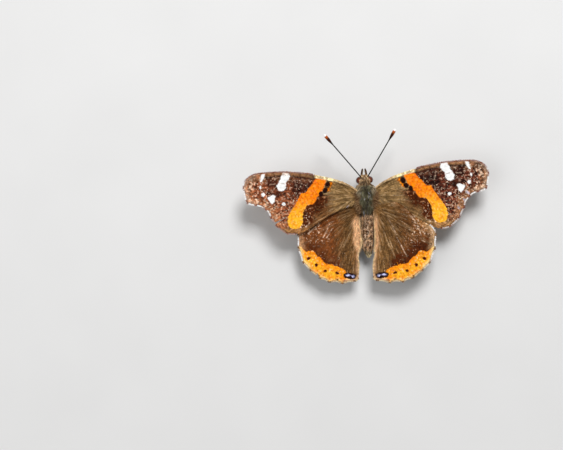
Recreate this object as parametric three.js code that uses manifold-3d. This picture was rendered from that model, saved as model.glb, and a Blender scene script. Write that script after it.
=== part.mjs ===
// A red admiral butterfly, life size, at rest on the floor with its wings spread flat.
// Units are millimetres and +Z is up. The head points to +Y and the right wings to +X.
// Plans are drawn with the middle of the thorax at X 0, Y 0 and the floor at Z 0. The
// wings are drawn once, as right wings, and each side then gets the pose of its own.
import * as THREE from 'three';
import { mergeVertices } from 'three/addons/utils/BufferGeometryUtils.js';
import Module from 'manifold-3d';

const wasm = await Module();
wasm.setup();

// Driving dimensions
const PLAN_MIDDLE = new THREE.Vector3(0.05, -2.05, 0); // middle of the whole outline, seen from above
const BODY_Z = 5.2; // height of the thorax's middle above the floor
const GAP = 0.3; // clear space between neighbouring pieces
const MEMBRANE = 0.5; // thickness of a wing between its veins
const VEIN_RISE = 0.15; // how far a vein stands out of each face near the root
const VEIN_HALF = 0.25; // half the width of a vein's ridge
const ROOT_SWELL = 0.3; // extra thickness where a wing meets the thorax
const ROOT_X = 1.5; // where the wing plans start, inside the thorax
const BRANCH_START = 0.07; // how far past its fork, as a share of the wing, a branch rises
const FILL_STEP = 2.6; // widest stretch of membrane without a vertex of its own
const FOOT_LENGTH = 2.7;
const FOOT_HEIGHT = 0.5;

const SIDES = [{ name: 'left', sign: -1 }, { name: 'right', sign: 1 }];

// Each row of a trunk table: place along Y, half width, half height, height of its middle.
// The abdomen bends a little to the left, which its last column gives.
const THORAX = [
  [3.55, 2.1, 1.7, BODY_Z - 0.1],
  [2.8, 2.45, 2.02, BODY_Z - 0.05],
  [1.6, 2.5, 2.25, BODY_Z],
  [0, 2.4, 2.3, BODY_Z],
  [-1.5, 2.2, 2.15, BODY_Z],
  [-2.6, 1.8, 1.8, BODY_Z],
  [-3.25, 1.4, 1.45, BODY_Z - 0.05],
];
const HEAD = [
  [6.4, 0.3, 0.35, BODY_Z - 0.3],
  [6.1, 0.95, 1.0, BODY_Z - 0.3],
  [5.6, 1.45, 1.4, BODY_Z - 0.25],
  [5.0, 1.65, 1.55, BODY_Z - 0.25],
  [4.4, 1.82, 1.62, BODY_Z - 0.2],
  [3.85, 1.92, 1.58, BODY_Z - 0.15],
];
const ABDOMEN = [
  [-3.55, 1.4, 1.4, BODY_Z - 0.1, 0],
  [-4.8, 1.68, 1.62, BODY_Z - 0.15, 0],
  [-6.6, 1.8, 1.72, BODY_Z - 0.3, -0.04],
  [-8.4, 1.72, 1.65, BODY_Z - 0.5, -0.16],
  [-10.2, 1.56, 1.46, BODY_Z - 0.75, -0.27],
  [-11.9, 1.3, 1.2, BODY_Z - 1.0, -0.32],
  [-13.2, 0.88, 0.86, BODY_Z - 1.18, -0.22],
  [-14.4, 0.2, 0.22, BODY_Z - 1.3, -0.14],
];
const ABDOMEN_SEGMENTS = 8;
const SEGMENT_GROOVE = 0.07; // how much the body narrows between two segments

const EYE = { x: 1.2, y: 5.02, z: BODY_Z - 0.2, radii: [0.93, 0.9, 1.05], inner: 0.95 };

const FOREWING = {
  hinge: [2.2, 1.0],
  lines: [
    { name: 'front', edge: true, path: [[ROOT_X, 2.2], [3.6, 3.75], [6.3, 5.1], [8.8, 5.93], [13.4, 7.03]] },
    { name: 'Sc', bay: 0, path: [[ROOT_X, 1.9], [5.6, 4.35], [9.4, 5.65], [14.8, 7.35]] },
    { name: 'R1', bay: 0.05, from: 'R5', at: 0.34, bend: [16, 6.5], end: [19.6, 7.92] },
    { name: 'R2', bay: 0.05, from: 'R5', at: 0.44, bend: [19, 6.9], end: [23.2, 8.03] },
    { name: 'R3', bay: 0.05, from: 'R5', at: 0.6, bend: [22.5, 7.1], end: [26.4, 7.93] },
    { name: 'R4', bay: 0.2, from: 'R5', at: 0.7, bend: [26, 6.9], end: [29.2, 7.33] },
    { name: 'R5', bay: 0.5, path: [[ROOT_X, 1.5], [5.5, 3.5], [10, 4.85], [14, 5.15], [20, 5.55], [26, 5.2], [31.05, 4.6]] },
    { name: 'M1', bay: 0.05, from: 'R5', at: 0.44, bend: [24, 5.0], end: [30.35, 1.0] },
    { name: 'M2', bay: 0.1, ridgeFrom: 0.45, path: [[ROOT_X, 1.1], [7, 2.3], [13.5, 3.3], [19, 3.7], [24.6, 2.3], [28.3, 0.3]] },
    { name: 'M3', bay: -0.3, path: [[ROOT_X, 0.6], [5.5, 0.75], [9.5, 0.7], [12.9, 1.2], [17, 1.6], [21.2, 0.95], [25.9, -0.95]] },
    { name: 'CuA1', bay: -0.4, from: 'M3', at: 0.4, bend: [19, 0.5], end: [24.55, -3.4] },
    { name: 'CuA2', bay: -0.1, from: 'M3', at: 0.29, bend: [16.6, -0.8], end: [23.2, -5.9] },
    { name: '2A', bay: 0.05, path: [[ROOT_X, 0], [6, -0.75], [13.5, -4.1], [20.7, -8.05]] },
    {
      name: 'rear',
      bay: 0.1,
      edge: true,
      path: [[ROOT_X, -0.5], [5.4, -1.65], [7.9, -2.75], [10.4, -4.3], [14.6, -6.95], [16.5, -7.9], [18.4, -8.3]],
    },
  ],
  rows: [0, 0.06, 0.13, 0.21, 0.29, 0.37, 0.45, 0.54, 0.63, 0.72, 0.81, 0.9, 1],
};

const HINDWING = {
  hinge: [2.0, -2.0],
  lines: [
    {
      name: 'front',
      edge: true,
      path: [[ROOT_X, -1.2], [3.4, -1.3], [5.4, -1.15], [7.3, -1.05], [9, -2.2], [10.6, -3.9], [12.4, -5.6], [15.2, -7.25]],
    },
    { name: 'Sc', bay: 0.25, path: [[ROOT_X, -1.7], [5, -3.2], [9.5, -5.3], [13.5, -7.5], [16.75, -9.8]] },
    { name: 'Rs', bay: -0.15, from: 'M1', at: 0.26, bend: [12, -9], end: [16.25, -13.4] },
    { name: 'M1', bay: -0.15, path: [[ROOT_X, -2.1], [5, -4.9], [8.6, -8.5], [11.8, -12.5], [14.75, -16.85]] },
    { name: 'M2', bay: -0.15, ridgeFrom: 0.45, path: [[ROOT_X, -2.4], [4.7, -5.9], [7.6, -10], [10.4, -14.5], [12.75, -18.55]] },
    { name: 'M3', bay: -0.15, path: [[ROOT_X, -2.7], [4.1, -6.5], [6.3, -11], [8.6, -16], [10.25, -20.4]] },
    { name: 'CuA1', bay: -0.35, from: 'M3', at: 0.42, bend: [7.2, -16], end: [7.75, -21.2] },
    { name: 'CuA2', bay: -0.45, from: 'M3', at: 0.28, bend: [4.3, -14], end: [4.5, -21.2] },
    { name: '2A', bay: -0.2, path: [[ROOT_X, -3.0], [2.9, -7.5], [2.75, -12], [2.0, -17], [1.35, -20.35]] },
    {
      name: 'rear',
      bay: 0.1,
      edge: true,
      path: [[ROOT_X, -3.5], [1.55, -5], [1.5, -7.3], [1.45, -9.6], [1.2, -11.8], [1.15, -13.9], [0.65, -15.4], [0.42, -17.5], [0.5, -19.5]],
    },
  ],
  rows: [0, 0.07, 0.15, 0.24, 0.33, 0.42, 0.51, 0.6, 0.7, 0.8, 0.9, 1],
};

// Pose of each wing: sweep and slopes in degrees, reach and rearChord below 1 where its
// length or rear half is seen tilted, rise of the root above the thorax's middle, and tuck,
// how far its inner edge is drawn in against the abdomen
const POSES = {
  forewing_left: { sweep: 1, dihedral: 8, pitch: 2, reach: 0.983, rearChord: 0.9, rise: 0.92, tuck: 0 },
  forewing_right: { sweep: 0, dihedral: 7, pitch: 3, reach: 0.995, rearChord: 1, rise: 0.15, tuck: 0 },
  hindwing_left: { sweep: 9.2, dihedral: 4.5, pitch: 0, reach: 1, rearChord: 1, rise: -0.12, tuck: 1.2 },
  hindwing_right: { sweep: 0, dihedral: 9.5, pitch: 0, reach: 1, rearChord: 1, rise: 1.0, tuck: 0 },
};
const TUCK_AREA = { y: -9.5, length: 3.5, outer: 5, width: 4 }; // where the tuck is felt
const DROOP = 0.0014; // how fast the wings bend down towards their tips

// Damage on the left wings: the three corners of each torn wedge, from above
const TEARS = {
  forewing_left: [[-24.9, -4.75], [-24.6, -5.35], [-20.0, -2.75]],
  hindwing_left: [[-13.9, -18.6], [-13.1, -19.0], [-13.4, -17.2]],
};

const ANTENNA = {
  left: { base: [-0.6, 5.45, BODY_Z + 1.0], tip: [-9.43, 16.86, 9.6] },
  right: { base: [0.6, 5.45, BODY_Z + 1.0], tip: [8.33, 17.0, 9.4] },
  bow: 0.35, // how far the middle arches up
  shaft: 0.25, // radii
  club: 0.46,
  end: 0.14,
};
const PALP = {
  path: [[0.56, 5.5, 4.2], [0.56, 6.4, 4.5], [0.46, 7.1, 4.95], [0.33, 7.75, 5.5]],
  radii: [0.28, 0.3, 0.27, 0.13],
};
// The sucking tube, rolled up: it starts at the top rear and winds inwards
const PROBOSCIS = { y: 5.7, z: 2.45, outer: 0.78, inner: 0.23, turns: 1.6, start: 0.75 * Math.PI, radii: [0.14, 0.12, 0.09] };

const MID_LEG = { hip: [0.9, 0.9, 3.7], knee: [4.5, 2.0, 4.15], ankle: [6.2, 2.9, 0.4], toe: [8.5, 4.0] };
const HIND_LEG = { hip: [0.95, -1.6, 3.7], knee: [3.9, -4.6, 4.1], ankle: [5.3, -8.2, 0.4], toe: [6.1, -10.7] };
const FORE_LEG = { hip: [0.75, 2.4, 3.5], knee: [1.05, 4.2, 2.75], tip: [0.75, 6.3, 3.05] };
const LEG_RADII = { hip: 0.38, thigh: 0.45, knee: 0.3, ankle: 0.27, foot: 0.3 };

const COLOURS = {
  head: 0x4a3f33,
  thorax: 0x3a3a2e,
  abdomen: 0x4b4136,
  eye: 0x3a1a14,
  antenna: 0x3b3a38,
  palp: 0x6b5c4a,
  proboscis: 0x5a3a22,
  forewing: 0x3a2118,
  hindwing: 0x4a3018,
  leg: 0x6e5a44,
};

// Solids
function toSolid(geometry) {
  const bare = geometry.clone();
  bare.deleteAttribute('normal');
  bare.deleteAttribute('uv');
  const merged = mergeVertices(bare, 1e-5);
  const mesh = new wasm.Mesh({
    numProp: 3,
    vertProperties: new Float32Array(merged.attributes.position.array),
    triVerts: new Uint32Array(merged.index.array),
  });
  mesh.merge();
  return new wasm.Manifold(mesh);
}

function toGeometry(solid) {
  const mesh = solid.getMesh();
  const geometry = new THREE.BufferGeometry();
  geometry.setAttribute('position', new THREE.BufferAttribute(new Float32Array(mesh.vertProperties), 3));
  geometry.setIndex(new THREE.BufferAttribute(new Uint32Array(mesh.triVerts), 1));
  geometry.computeVertexNormals();
  return geometry;
}

function largest(solid) {
  const bodies = solid.decompose();
  bodies.sort((a, b) => b.volume() - a.volume());
  return bodies[0];
}

function clearOf(solid, ...neighbours) {
  const cut = neighbours.reduce((rest, neighbour) => rest.subtract(neighbour), solid);
  return largest(cut);
}

function joined(...solids) {
  return largest(solids.reduce((sum, solid) => sum.add(solid)));
}

// A closed skin over rings of equal size, with a flat cap on each end
function skinRings(rings) {
  const sides = rings[0].length;
  const points = rings.flat();
  const middle = (ring) => ring.reduce((sum, p) => sum.add(p), new THREE.Vector3()).divideScalar(sides);
  points.push(middle(rings[0]), middle(rings[rings.length - 1]));
  const [first, last] = [points.length - 2, points.length - 1];
  const faces = [];
  for (let j = 0; j < sides; j += 1) {
    const k = (j + 1) % sides;
    for (let i = 0; i < rings.length - 1; i += 1) {
      const [a, b] = [i * sides + j, i * sides + k];
      faces.push(a, b, a + sides, b, b + sides, a + sides);
    }
    const end = (rings.length - 1) * sides;
    faces.push(first, k, j, last, end + j, end + k);
  }
  const geometry = new THREE.BufferGeometry().setFromPoints(points);
  geometry.setIndex(faces);
  return geometry;
}

// Catmull-Rom value at t of a table of number rows
function alongTable(table, t) {
  const place = t * (table.length - 1);
  const i = Math.min(Math.floor(place), table.length - 2);
  const f = place - i;
  const row = (k) => table[THREE.MathUtils.clamp(k, 0, table.length - 1)];
  return table[0].map((_, c) => {
    const [a, b, d, e] = [row(i - 1)[c], row(i)[c], row(i + 1)[c], row(i + 2)[c]];
    return b + 0.5 * f * (d - a + f * (2 * a - 5 * b + 4 * d - e + f * (3 * (b - d) + e - a)));
  });
}

// A length of the body: oval rings along Y, from front to back
function trunk(table, steps, { sides = 24, grow = 0 } = {}) {
  const last = steps.length - 1;
  const rings = steps.map(({ t, narrow = 0 }, i) => {
    const [y, halfWidth, halfHeight, z, middle = 0] = alongTable(table, t);
    const ends = i === 0 ? grow : i === last ? -grow : 0;
    return Array.from({ length: sides }, (_, j) => {
      const angle = (j / sides) * 2 * Math.PI;
      const x = middle + (halfWidth * (1 - narrow) + grow) * Math.cos(angle);
      const up = (halfHeight * (1 - narrow) + grow) * Math.sin(angle);
      return new THREE.Vector3(x, y + ends, z + up);
    });
  });
  return skinRings(rings);
}

function evenSteps(count) {
  return Array.from({ length: count + 1 }, (_, i) => ({ t: i / count }));
}

// Two full rings and one narrow ring for each segment of the abdomen
function segmentSteps() {
  const steps = [];
  for (let i = 0; i < ABDOMEN_SEGMENTS; i += 1) {
    const start = i / ABDOMEN_SEGMENTS;
    const width = 1 / ABDOMEN_SEGMENTS;
    steps.push({ t: start, narrow: i === 0 ? 0 : SEGMENT_GROOVE });
    steps.push({ t: start + 0.25 * width }, { t: start + 0.8 * width });
  }
  steps.push({ t: 1 });
  return steps;
}

// A round limb along a smooth path, its radius read from a list along its length
function limb(path, radii, rows, sides) {
  const curve = new THREE.CatmullRomCurve3(path.map((p) => new THREE.Vector3(...p)), false, 'centripetal');
  const frames = curve.computeFrenetFrames(rows, false);
  const table = radii.map((r) => [r]);
  const rings = Array.from({ length: rows + 1 }, (_, i) => {
    const centre = curve.getPointAt(i / rows);
    const [radius] = alongTable(table, i / rows);
    return Array.from({ length: sides }, (_, j) => {
      const angle = (j / sides) * 2 * Math.PI;
      const out = frames.normals[i].clone().multiplyScalar(Math.cos(angle));
      out.addScaledVector(frames.binormals[i], Math.sin(angle));
      return out.multiplyScalar(radius).add(centre);
    });
  });
  return toSolid(skinRings(rings));
}

function ball(centre, radii, wide, high) {
  const geometry = new THREE.SphereGeometry(1, wide, high);
  geometry.rotateX(Math.PI / 2);
  geometry.scale(...radii);
  geometry.translate(...centre);
  return toSolid(geometry);
}

function boxBetween(low, high) {
  const size = high.map((value, i) => value - low[i]);
  const geometry = new THREE.BoxGeometry(...size);
  geometry.translate(...low.map((value, i) => value + size[i] / 2));
  return toSolid(geometry);
}

function prism(corners, bottom, top) {
  const shape = new THREE.Shape(corners.map((corner) => new THREE.Vector2(...corner)));
  const geometry = new THREE.ExtrudeGeometry(shape, { depth: top - bottom, bevelEnabled: false });
  geometry.translate(0, 0, bottom);
  return toSolid(geometry);
}

const mirrored = (point, sign) => [point[0] * sign, ...point.slice(1)];

// Body
const thoraxSolid = toSolid(trunk(THORAX, evenSteps(12)));
const thoraxRoom = toSolid(trunk(THORAX, evenSteps(12), { grow: GAP }));
const abdomenSolid = toSolid(trunk(ABDOMEN, segmentSteps()));
const abdomenRoom = toSolid(trunk(ABDOMEN, evenSteps(16), { grow: GAP }));
const headRoom = toSolid(trunk(HEAD, evenSteps(10), { grow: GAP }));

function eyeSolid(sign, grow = 0) {
  const whole = ball([EYE.x * sign, EYE.y, EYE.z], EYE.radii.map((r) => r + grow), 16, 12);
  const inner = EYE.inner - grow;
  const outer = inner + 4;
  const low = [sign > 0 ? inner : -outer, EYE.y - 3, EYE.z - 3];
  const high = [sign > 0 ? outer : -inner, EYE.y + 3, EYE.z + 3];
  return whole.intersect(boxBetween(low, high));
}

function headSolid() {
  const whole = toSolid(trunk(HEAD, evenSteps(10)));
  return clearOf(whole, eyeSolid(-1, GAP), eyeSolid(1, GAP));
}

function antennaSolid(side) {
  const base = new THREE.Vector3(...ANTENNA[side.name].base);
  const tip = new THREE.Vector3(...ANTENNA[side.name].tip);
  const middle = base.clone().lerp(tip, 0.5);
  middle.z += ANTENNA.bow;
  const { shaft, club, end } = ANTENNA;
  const path = [base.toArray(), middle.toArray(), tip.toArray()];
  const radii = [...Array(13).fill(shaft), shaft * 1.15, club * 0.9, club, end];
  return clearOf(limb(path, radii, 22, 8), headRoom);
}

function palpSolid(side) {
  const path = PALP.path.map((point) => mirrored(point, side.sign));
  return clearOf(limb(path, PALP.radii, 8, 8), headRoom);
}

function proboscisSolid() {
  const { y, z, outer, inner, turns, start, radii } = PROBOSCIS;
  const steps = 20;
  const path = Array.from({ length: steps + 1 }, (_, i) => {
    const share = i / steps;
    const angle = start - share * turns * 2 * Math.PI;
    const radius = outer + (inner - outer) * share;
    return [0, y + radius * Math.cos(angle), z + radius * Math.sin(angle)];
  });
  return clearOf(limb(path, radii, 36, 6), headRoom);
}

// Legs
function footSolid(ankle, toe) {
  const along = new THREE.Vector2(toe[0] - ankle[0], toe[1] - ankle[1]).normalize();
  const across = new THREE.Vector2(-along.y, along.x);
  const corners = [];
  const point = (length, width) => {
    corners.push([
      ankle[0] + along.x * length + across.x * width,
      ankle[1] + along.y * length + across.y * width,
    ]);
  };
  const half = LEG_RADII.foot;
  const tip = half * 0.8;
  point(-half, -half * 0.5);
  point(0, -half);
  point(FOOT_LENGTH - tip, -tip);
  point(FOOT_LENGTH, -tip * 0.5);
  point(FOOT_LENGTH, tip * 0.5);
  point(FOOT_LENGTH - tip, tip);
  point(0, half);
  point(-half, half * 0.5);
  return prism(corners, 0, FOOT_HEIGHT);
}

function walkingLegSolid(plan, side) {
  const [hip, knee, ankle, toe] = ['hip', 'knee', 'ankle', 'toe'].map((key) => mirrored(plan[key], side.sign));
  const { hip: h, thigh, knee: k, ankle: a } = LEG_RADII;
  const femur = limb([hip, knee], [h, thigh, thigh * 0.95, k], 4, 8);
  const joint = ball(knee, [k, k, k], 8, 6);
  const tibia = limb([knee, ankle], [k * 0.95, k, a], 4, 8);
  return clearOf(joined(femur, joint, tibia, footSolid(ankle, toe)), thoraxRoom);
}

function foreLegSolid(side) {
  const path = [FORE_LEG.hip, FORE_LEG.knee, FORE_LEG.tip].map((p) => mirrored(p, side.sign));
  return clearOf(limb(path, [0.3, 0.36, 0.32, 0.34, 0.28, 0.16], 10, 8), thoraxRoom, headRoom);
}

// Wings
function posedPlan(wing, pose) {
  const turn = THREE.MathUtils.degToRad(pose.sweep);
  const [hx, hy] = wing.hinge;
  return ([x, y]) => {
    if (x === ROOT_X) return new THREE.Vector3(x, y, 0);
    const squeezed = y < 0 ? y * pose.rearChord : y;
    const inner = THREE.MathUtils.clamp((TUCK_AREA.outer - x) / TUCK_AREA.width, 0, 1);
    const drawn = pose.tuck * inner * Math.exp(-(((y - TUCK_AREA.y) / TUCK_AREA.length) ** 2));
    const [dx, dy] = [(x - drawn - hx) * pose.reach, squeezed - hy];
    return new THREE.Vector3(
      hx + dx * Math.cos(turn) - dy * Math.sin(turn),
      hy + dx * Math.sin(turn) + dy * Math.cos(turn),
      0,
    );
  };
}

// A function for each line of the wing that gives its plan point at u, 0 at the root
function posedLines(wing, pose) {
  const place = posedPlan(wing, pose);
  const lines = new Map();
  for (const line of wing.lines.filter((each) => each.path)) {
    const curve = new THREE.CatmullRomCurve3(line.path.map(place), false, 'centripetal');
    lines.set(line.name, { ...line, start: 0, pointAt: (u) => curve.getPointAt(u) });
  }
  for (const line of wing.lines.filter((each) => each.from)) {
    const stem = lines.get(line.from).pointAt(line.at);
    const curve = new THREE.QuadraticBezierCurve3(stem, place(line.bend), place(line.end));
    const pointAt = (u) => curve.getPointAt((u - line.at) / (1 - line.at));
    lines.set(line.name, { ...line, start: line.at, pointAt });
  }
  return wing.lines.map((line) => lines.get(line.name));
}

function ridgeHeight(line, u) {
  if (u < (line.ridgeFrom ?? 0)) return 0;
  return VEIN_RISE * (1 - 0.55 * u);
}

// One row across the wing: a crest on each line, a foot on both sides of each vein, and
// plain points where the membrane between two veins is wide
function wingRow(lines, u) {
  const alive = lines.filter((line) => line.start === 0 || u > line.start + BRANCH_START);
  const crests = alive.map((line) => line.pointAt(u));
  const row = [];
  alive.forEach((line, k) => {
    row.push({ key: line.name, point: crests[k], lift: ridgeHeight(line, u) });
    if (k === alive.length - 1) return;
    const [from, to] = [crests[k], crests[k + 1]];
    const next = alive[k + 1];
    const span = to.clone().sub(from);
    const width = span.length();
    const across = span.clone().normalize();
    const footPlace = (each) => {
      const back = each.pointAt(u < 0.02 ? u : u - 0.01);
      const ahead = each.pointAt(u < 0.02 ? u + 0.01 : u);
      const tangent = ahead.sub(back).normalize();
      const slant = Math.max(Math.abs(across.x * tangent.y - across.y * tangent.x), 0.1);
      return Math.min(0.3, VEIN_HALF / slant / width);
    };
    const low = footPlace(line);
    const high = 1 - footPlace(next);
    const fills = Math.floor(((high - low) * width) / FILL_STEP);
    const outward = new THREE.Vector3(-across.y, across.x, 0).multiplyScalar(u === 1 ? next.bay : 0);
    for (let i = 0; i <= fills + 1; i += 1) {
      const f = low + ((high - low) * i) / (fills + 1);
      const point = from.clone().addScaledVector(span, f).addScaledVector(outward, Math.sin(Math.PI * f));
      const key = i === 0 ? `${line.name}+` : i === fills + 1 ? `${next.name}-` : null;
      row.push({ key, point, lift: 0 });
    }
  });
  return row;
}

// Triangles between two rows, which share the points that have the same key
function zipRows(near, far) {
  const farPlace = new Map(far.map((vertex, i) => [vertex.key, i]));
  const anchors = near.flatMap((vertex, i) => (vertex.key && farPlace.has(vertex.key) ? [[i, farPlace.get(vertex.key)]] : []));
  const faces = [];
  for (let k = 0; k < anchors.length - 1; k += 1) {
    let [i, j] = anchors[k];
    const [iEnd, jEnd] = anchors[k + 1];
    while (i < iEnd || j < jEnd) {
      const stepNear = i < iEnd ? near[i + 1].point.distanceTo(far[j].point) : Infinity;
      const stepFar = j < jEnd ? near[i].point.distanceTo(far[j + 1].point) : Infinity;
      if (stepNear < stepFar) {
        faces.push([near[i], near[i + 1], far[j]]);
        i += 1;
      } else {
        faces.push([near[i], far[j + 1], far[j]]);
        j += 1;
      }
    }
  }
  return faces;
}

// The wing's closed solid: the same triangles on both faces and a wall round the outline
function wingSolid(wing, name, side) {
  const pose = POSES[name];
  const lines = posedLines(wing, pose);
  const rows = wing.rows.map((u) => wingRow(lines, u));
  const slope = Math.tan(THREE.MathUtils.degToRad(pose.dihedral));
  const tilt = Math.tan(THREE.MathUtils.degToRad(pose.pitch));
  const points = [];
  const vertices = rows.flat();
  const addFace = (direction) => {
    rows.forEach((row, r) => {
      const swell = ROOT_SWELL * Math.exp(-wing.rows[r] / 0.07);
      row.forEach(({ point, lift }) => {
        const out = point.x - ROOT_X;
        const z = BODY_Z + pose.rise + out * slope + (point.y - wing.hinge[1]) * tilt - DROOP * out * out;
        const half = (MEMBRANE + swell) / 2 + lift;
        points.push(new THREE.Vector3(point.x * side.sign, point.y, z + direction * half));
      });
    });
  };
  addFace(1);
  addFace(-1);
  const count = vertices.length;
  const index = new Map(vertices.map((vertex, i) => [vertex, i]));
  const triangles = [];
  for (let r = 0; r < rows.length - 1; r += 1) {
    for (const face of zipRows(rows[r], rows[r + 1])) {
      const [a, b, c] = face.map((vertex) => index.get(vertex));
      triangles.push([a, b, c], [a + count, c + count, b + count]);
    }
  }
  const rim = [
    ...rows[0].slice().reverse(),
    ...rows.slice(1, -1).map((row) => row[0]),
    ...rows[rows.length - 1],
    ...rows.slice(1, -1).reverse().map((row) => row[row.length - 1]),
  ].map((vertex) => index.get(vertex));
  rim.forEach((a, i) => {
    const b = rim[(i + 1) % rim.length];
    triangles.push([a, b, b + count], [a, b + count, a + count]);
  });
  const facing = triangles.map((face) => (side.sign < 0 ? face.slice().reverse() : face));
  const geometry = new THREE.BufferGeometry().setFromPoints(points);
  geometry.setIndex(facing.flat());
  const tear = TEARS[name] ? [prism(TEARS[name], 0, 3 * BODY_Z)] : [];
  return clearOf(toSolid(geometry), thoraxRoom, abdomenRoom, ...tear);
}

// Assembly
const model = new THREE.Group();
model.position.copy(PLAN_MIDDLE).negate();

function addPiece(name, solid, colour, roughness = 0.8) {
  const material = new THREE.MeshStandardMaterial({ color: colour, roughness, metalness: 0 });
  const mesh = new THREE.Mesh(toGeometry(solid), material);
  mesh.name = name;
  model.add(mesh);
}

addPiece('thorax', thoraxSolid, COLOURS.thorax);
addPiece('head', headSolid(), COLOURS.head);
addPiece('abdomen', abdomenSolid, COLOURS.abdomen);
addPiece('proboscis', proboscisSolid(), COLOURS.proboscis, 0.5);
for (const side of SIDES) {
  addPiece(`eye_${side.name}`, eyeSolid(side.sign), COLOURS.eye, 0.3);
  addPiece(`antenna_${side.name}`, antennaSolid(side), COLOURS.antenna, 0.6);
  addPiece(`palp_${side.name}`, palpSolid(side), COLOURS.palp);
  addPiece(`leg_fore_${side.name}`, foreLegSolid(side), COLOURS.leg);
  addPiece(`leg_mid_${side.name}`, walkingLegSolid(MID_LEG, side), COLOURS.leg);
  addPiece(`leg_hind_${side.name}`, walkingLegSolid(HIND_LEG, side), COLOURS.leg);
  addPiece(`forewing_${side.name}`, wingSolid(FOREWING, `forewing_${side.name}`, side), COLOURS.forewing);
  addPiece(`hindwing_${side.name}`, wingSolid(HINDWING, `hindwing_${side.name}`, side), COLOURS.hindwing);
}

export default model;
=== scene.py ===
# A red admiral butterfly, life size, at rest on a pale floor with its wings spread flat.
# Plans are drawn in millimetres from the middle of the thorax: +Y is the head's end, +X the
# right wings' and Z is the height above the floor. A mesh is made in metres from them.
import math
import bpy
import numpy as np
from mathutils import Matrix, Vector, geometry


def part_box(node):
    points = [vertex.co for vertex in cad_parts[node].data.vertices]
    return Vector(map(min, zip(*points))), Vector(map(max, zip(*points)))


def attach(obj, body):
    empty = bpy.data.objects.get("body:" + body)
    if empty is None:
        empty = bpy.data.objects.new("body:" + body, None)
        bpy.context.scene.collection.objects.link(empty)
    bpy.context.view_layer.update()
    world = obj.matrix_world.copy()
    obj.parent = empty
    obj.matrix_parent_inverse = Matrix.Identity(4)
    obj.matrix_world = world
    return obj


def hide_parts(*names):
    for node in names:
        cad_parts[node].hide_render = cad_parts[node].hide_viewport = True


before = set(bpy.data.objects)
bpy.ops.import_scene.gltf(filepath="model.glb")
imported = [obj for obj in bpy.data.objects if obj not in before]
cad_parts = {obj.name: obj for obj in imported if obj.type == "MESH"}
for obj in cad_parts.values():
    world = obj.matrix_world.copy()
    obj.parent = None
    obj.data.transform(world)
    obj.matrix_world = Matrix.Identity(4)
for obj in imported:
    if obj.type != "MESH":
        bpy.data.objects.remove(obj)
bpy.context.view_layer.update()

MM = 0.001
SIDES = {"left": -1, "right": 1}
UP = np.array([0.0, 0, 1])

# The plans' zero is under the middle of the thorax, whose box reaches a little further forward
THORAX_BOX_AHEAD = 0.15
thorax_low, thorax_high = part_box("thorax")
PLAN_ZERO = np.array([
    (thorax_low.x + thorax_high.x) / 2 / MM,
    (thorax_low.y + thorax_high.y) / 2 / MM - THORAX_BOX_AHEAD,
    0,
])

# Body: place along Y, half width, half height, drop of the middle under BODY_Z, depth of the
# coat, and how far the middle stands to the right
BODY_Z = 5.2
TRUNK = np.array([
    (6.42, 0.1, 0.1, 0.35, 0.02, 0),
    (6.3, 0.55, 0.55, 0.32, 0.06, 0),
    (6.0, 1.05, 1.1, 0.3, 0.16, 0),
    (5.5, 1.45, 1.45, 0.25, 0.22, 0),
    (5.0, 1.6, 1.55, 0.25, 0.25, 0),
    (4.4, 1.82, 1.6, 0.2, 0.32, 0),
    (3.75, 1.96, 1.58, 0.15, 0.42, 0),
    (3.4, 2.14, 1.74, 0.1, 0.45, 0),
    (2.8, 2.44, 2.0, 0.05, 0.46, 0),
    (1.6, 2.5, 2.24, 0, 0.42, 0),
    (0.0, 2.4, 2.3, 0, 0.4, 0),
    (-1.5, 2.2, 2.15, 0, 0.38, 0),
    (-2.6, 1.8, 1.8, 0, 0.34, 0),
    (-3.4, 1.45, 1.42, 0.08, 0.26, 0),
    (-4.8, 1.68, 1.62, 0.15, 0.16, 0),
    (-6.6, 1.8, 1.72, 0.3, 0.12, -0.04),
    (-8.4, 1.72, 1.65, 0.5, 0.12, -0.16),
    (-10.2, 1.56, 1.46, 0.75, 0.12, -0.27),
    (-11.9, 1.3, 1.2, 1.0, 0.12, -0.32),
    (-13.2, 0.88, 0.86, 1.18, 0.1, -0.22),
    (-14.2, 0.28, 0.3, 1.28, 0.04, -0.16),
])
NECK_Y = 3.75
WAIST_Y = -3.3
ABDOMEN_END = -14.2
ABDOMEN_RINGS = 8

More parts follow.
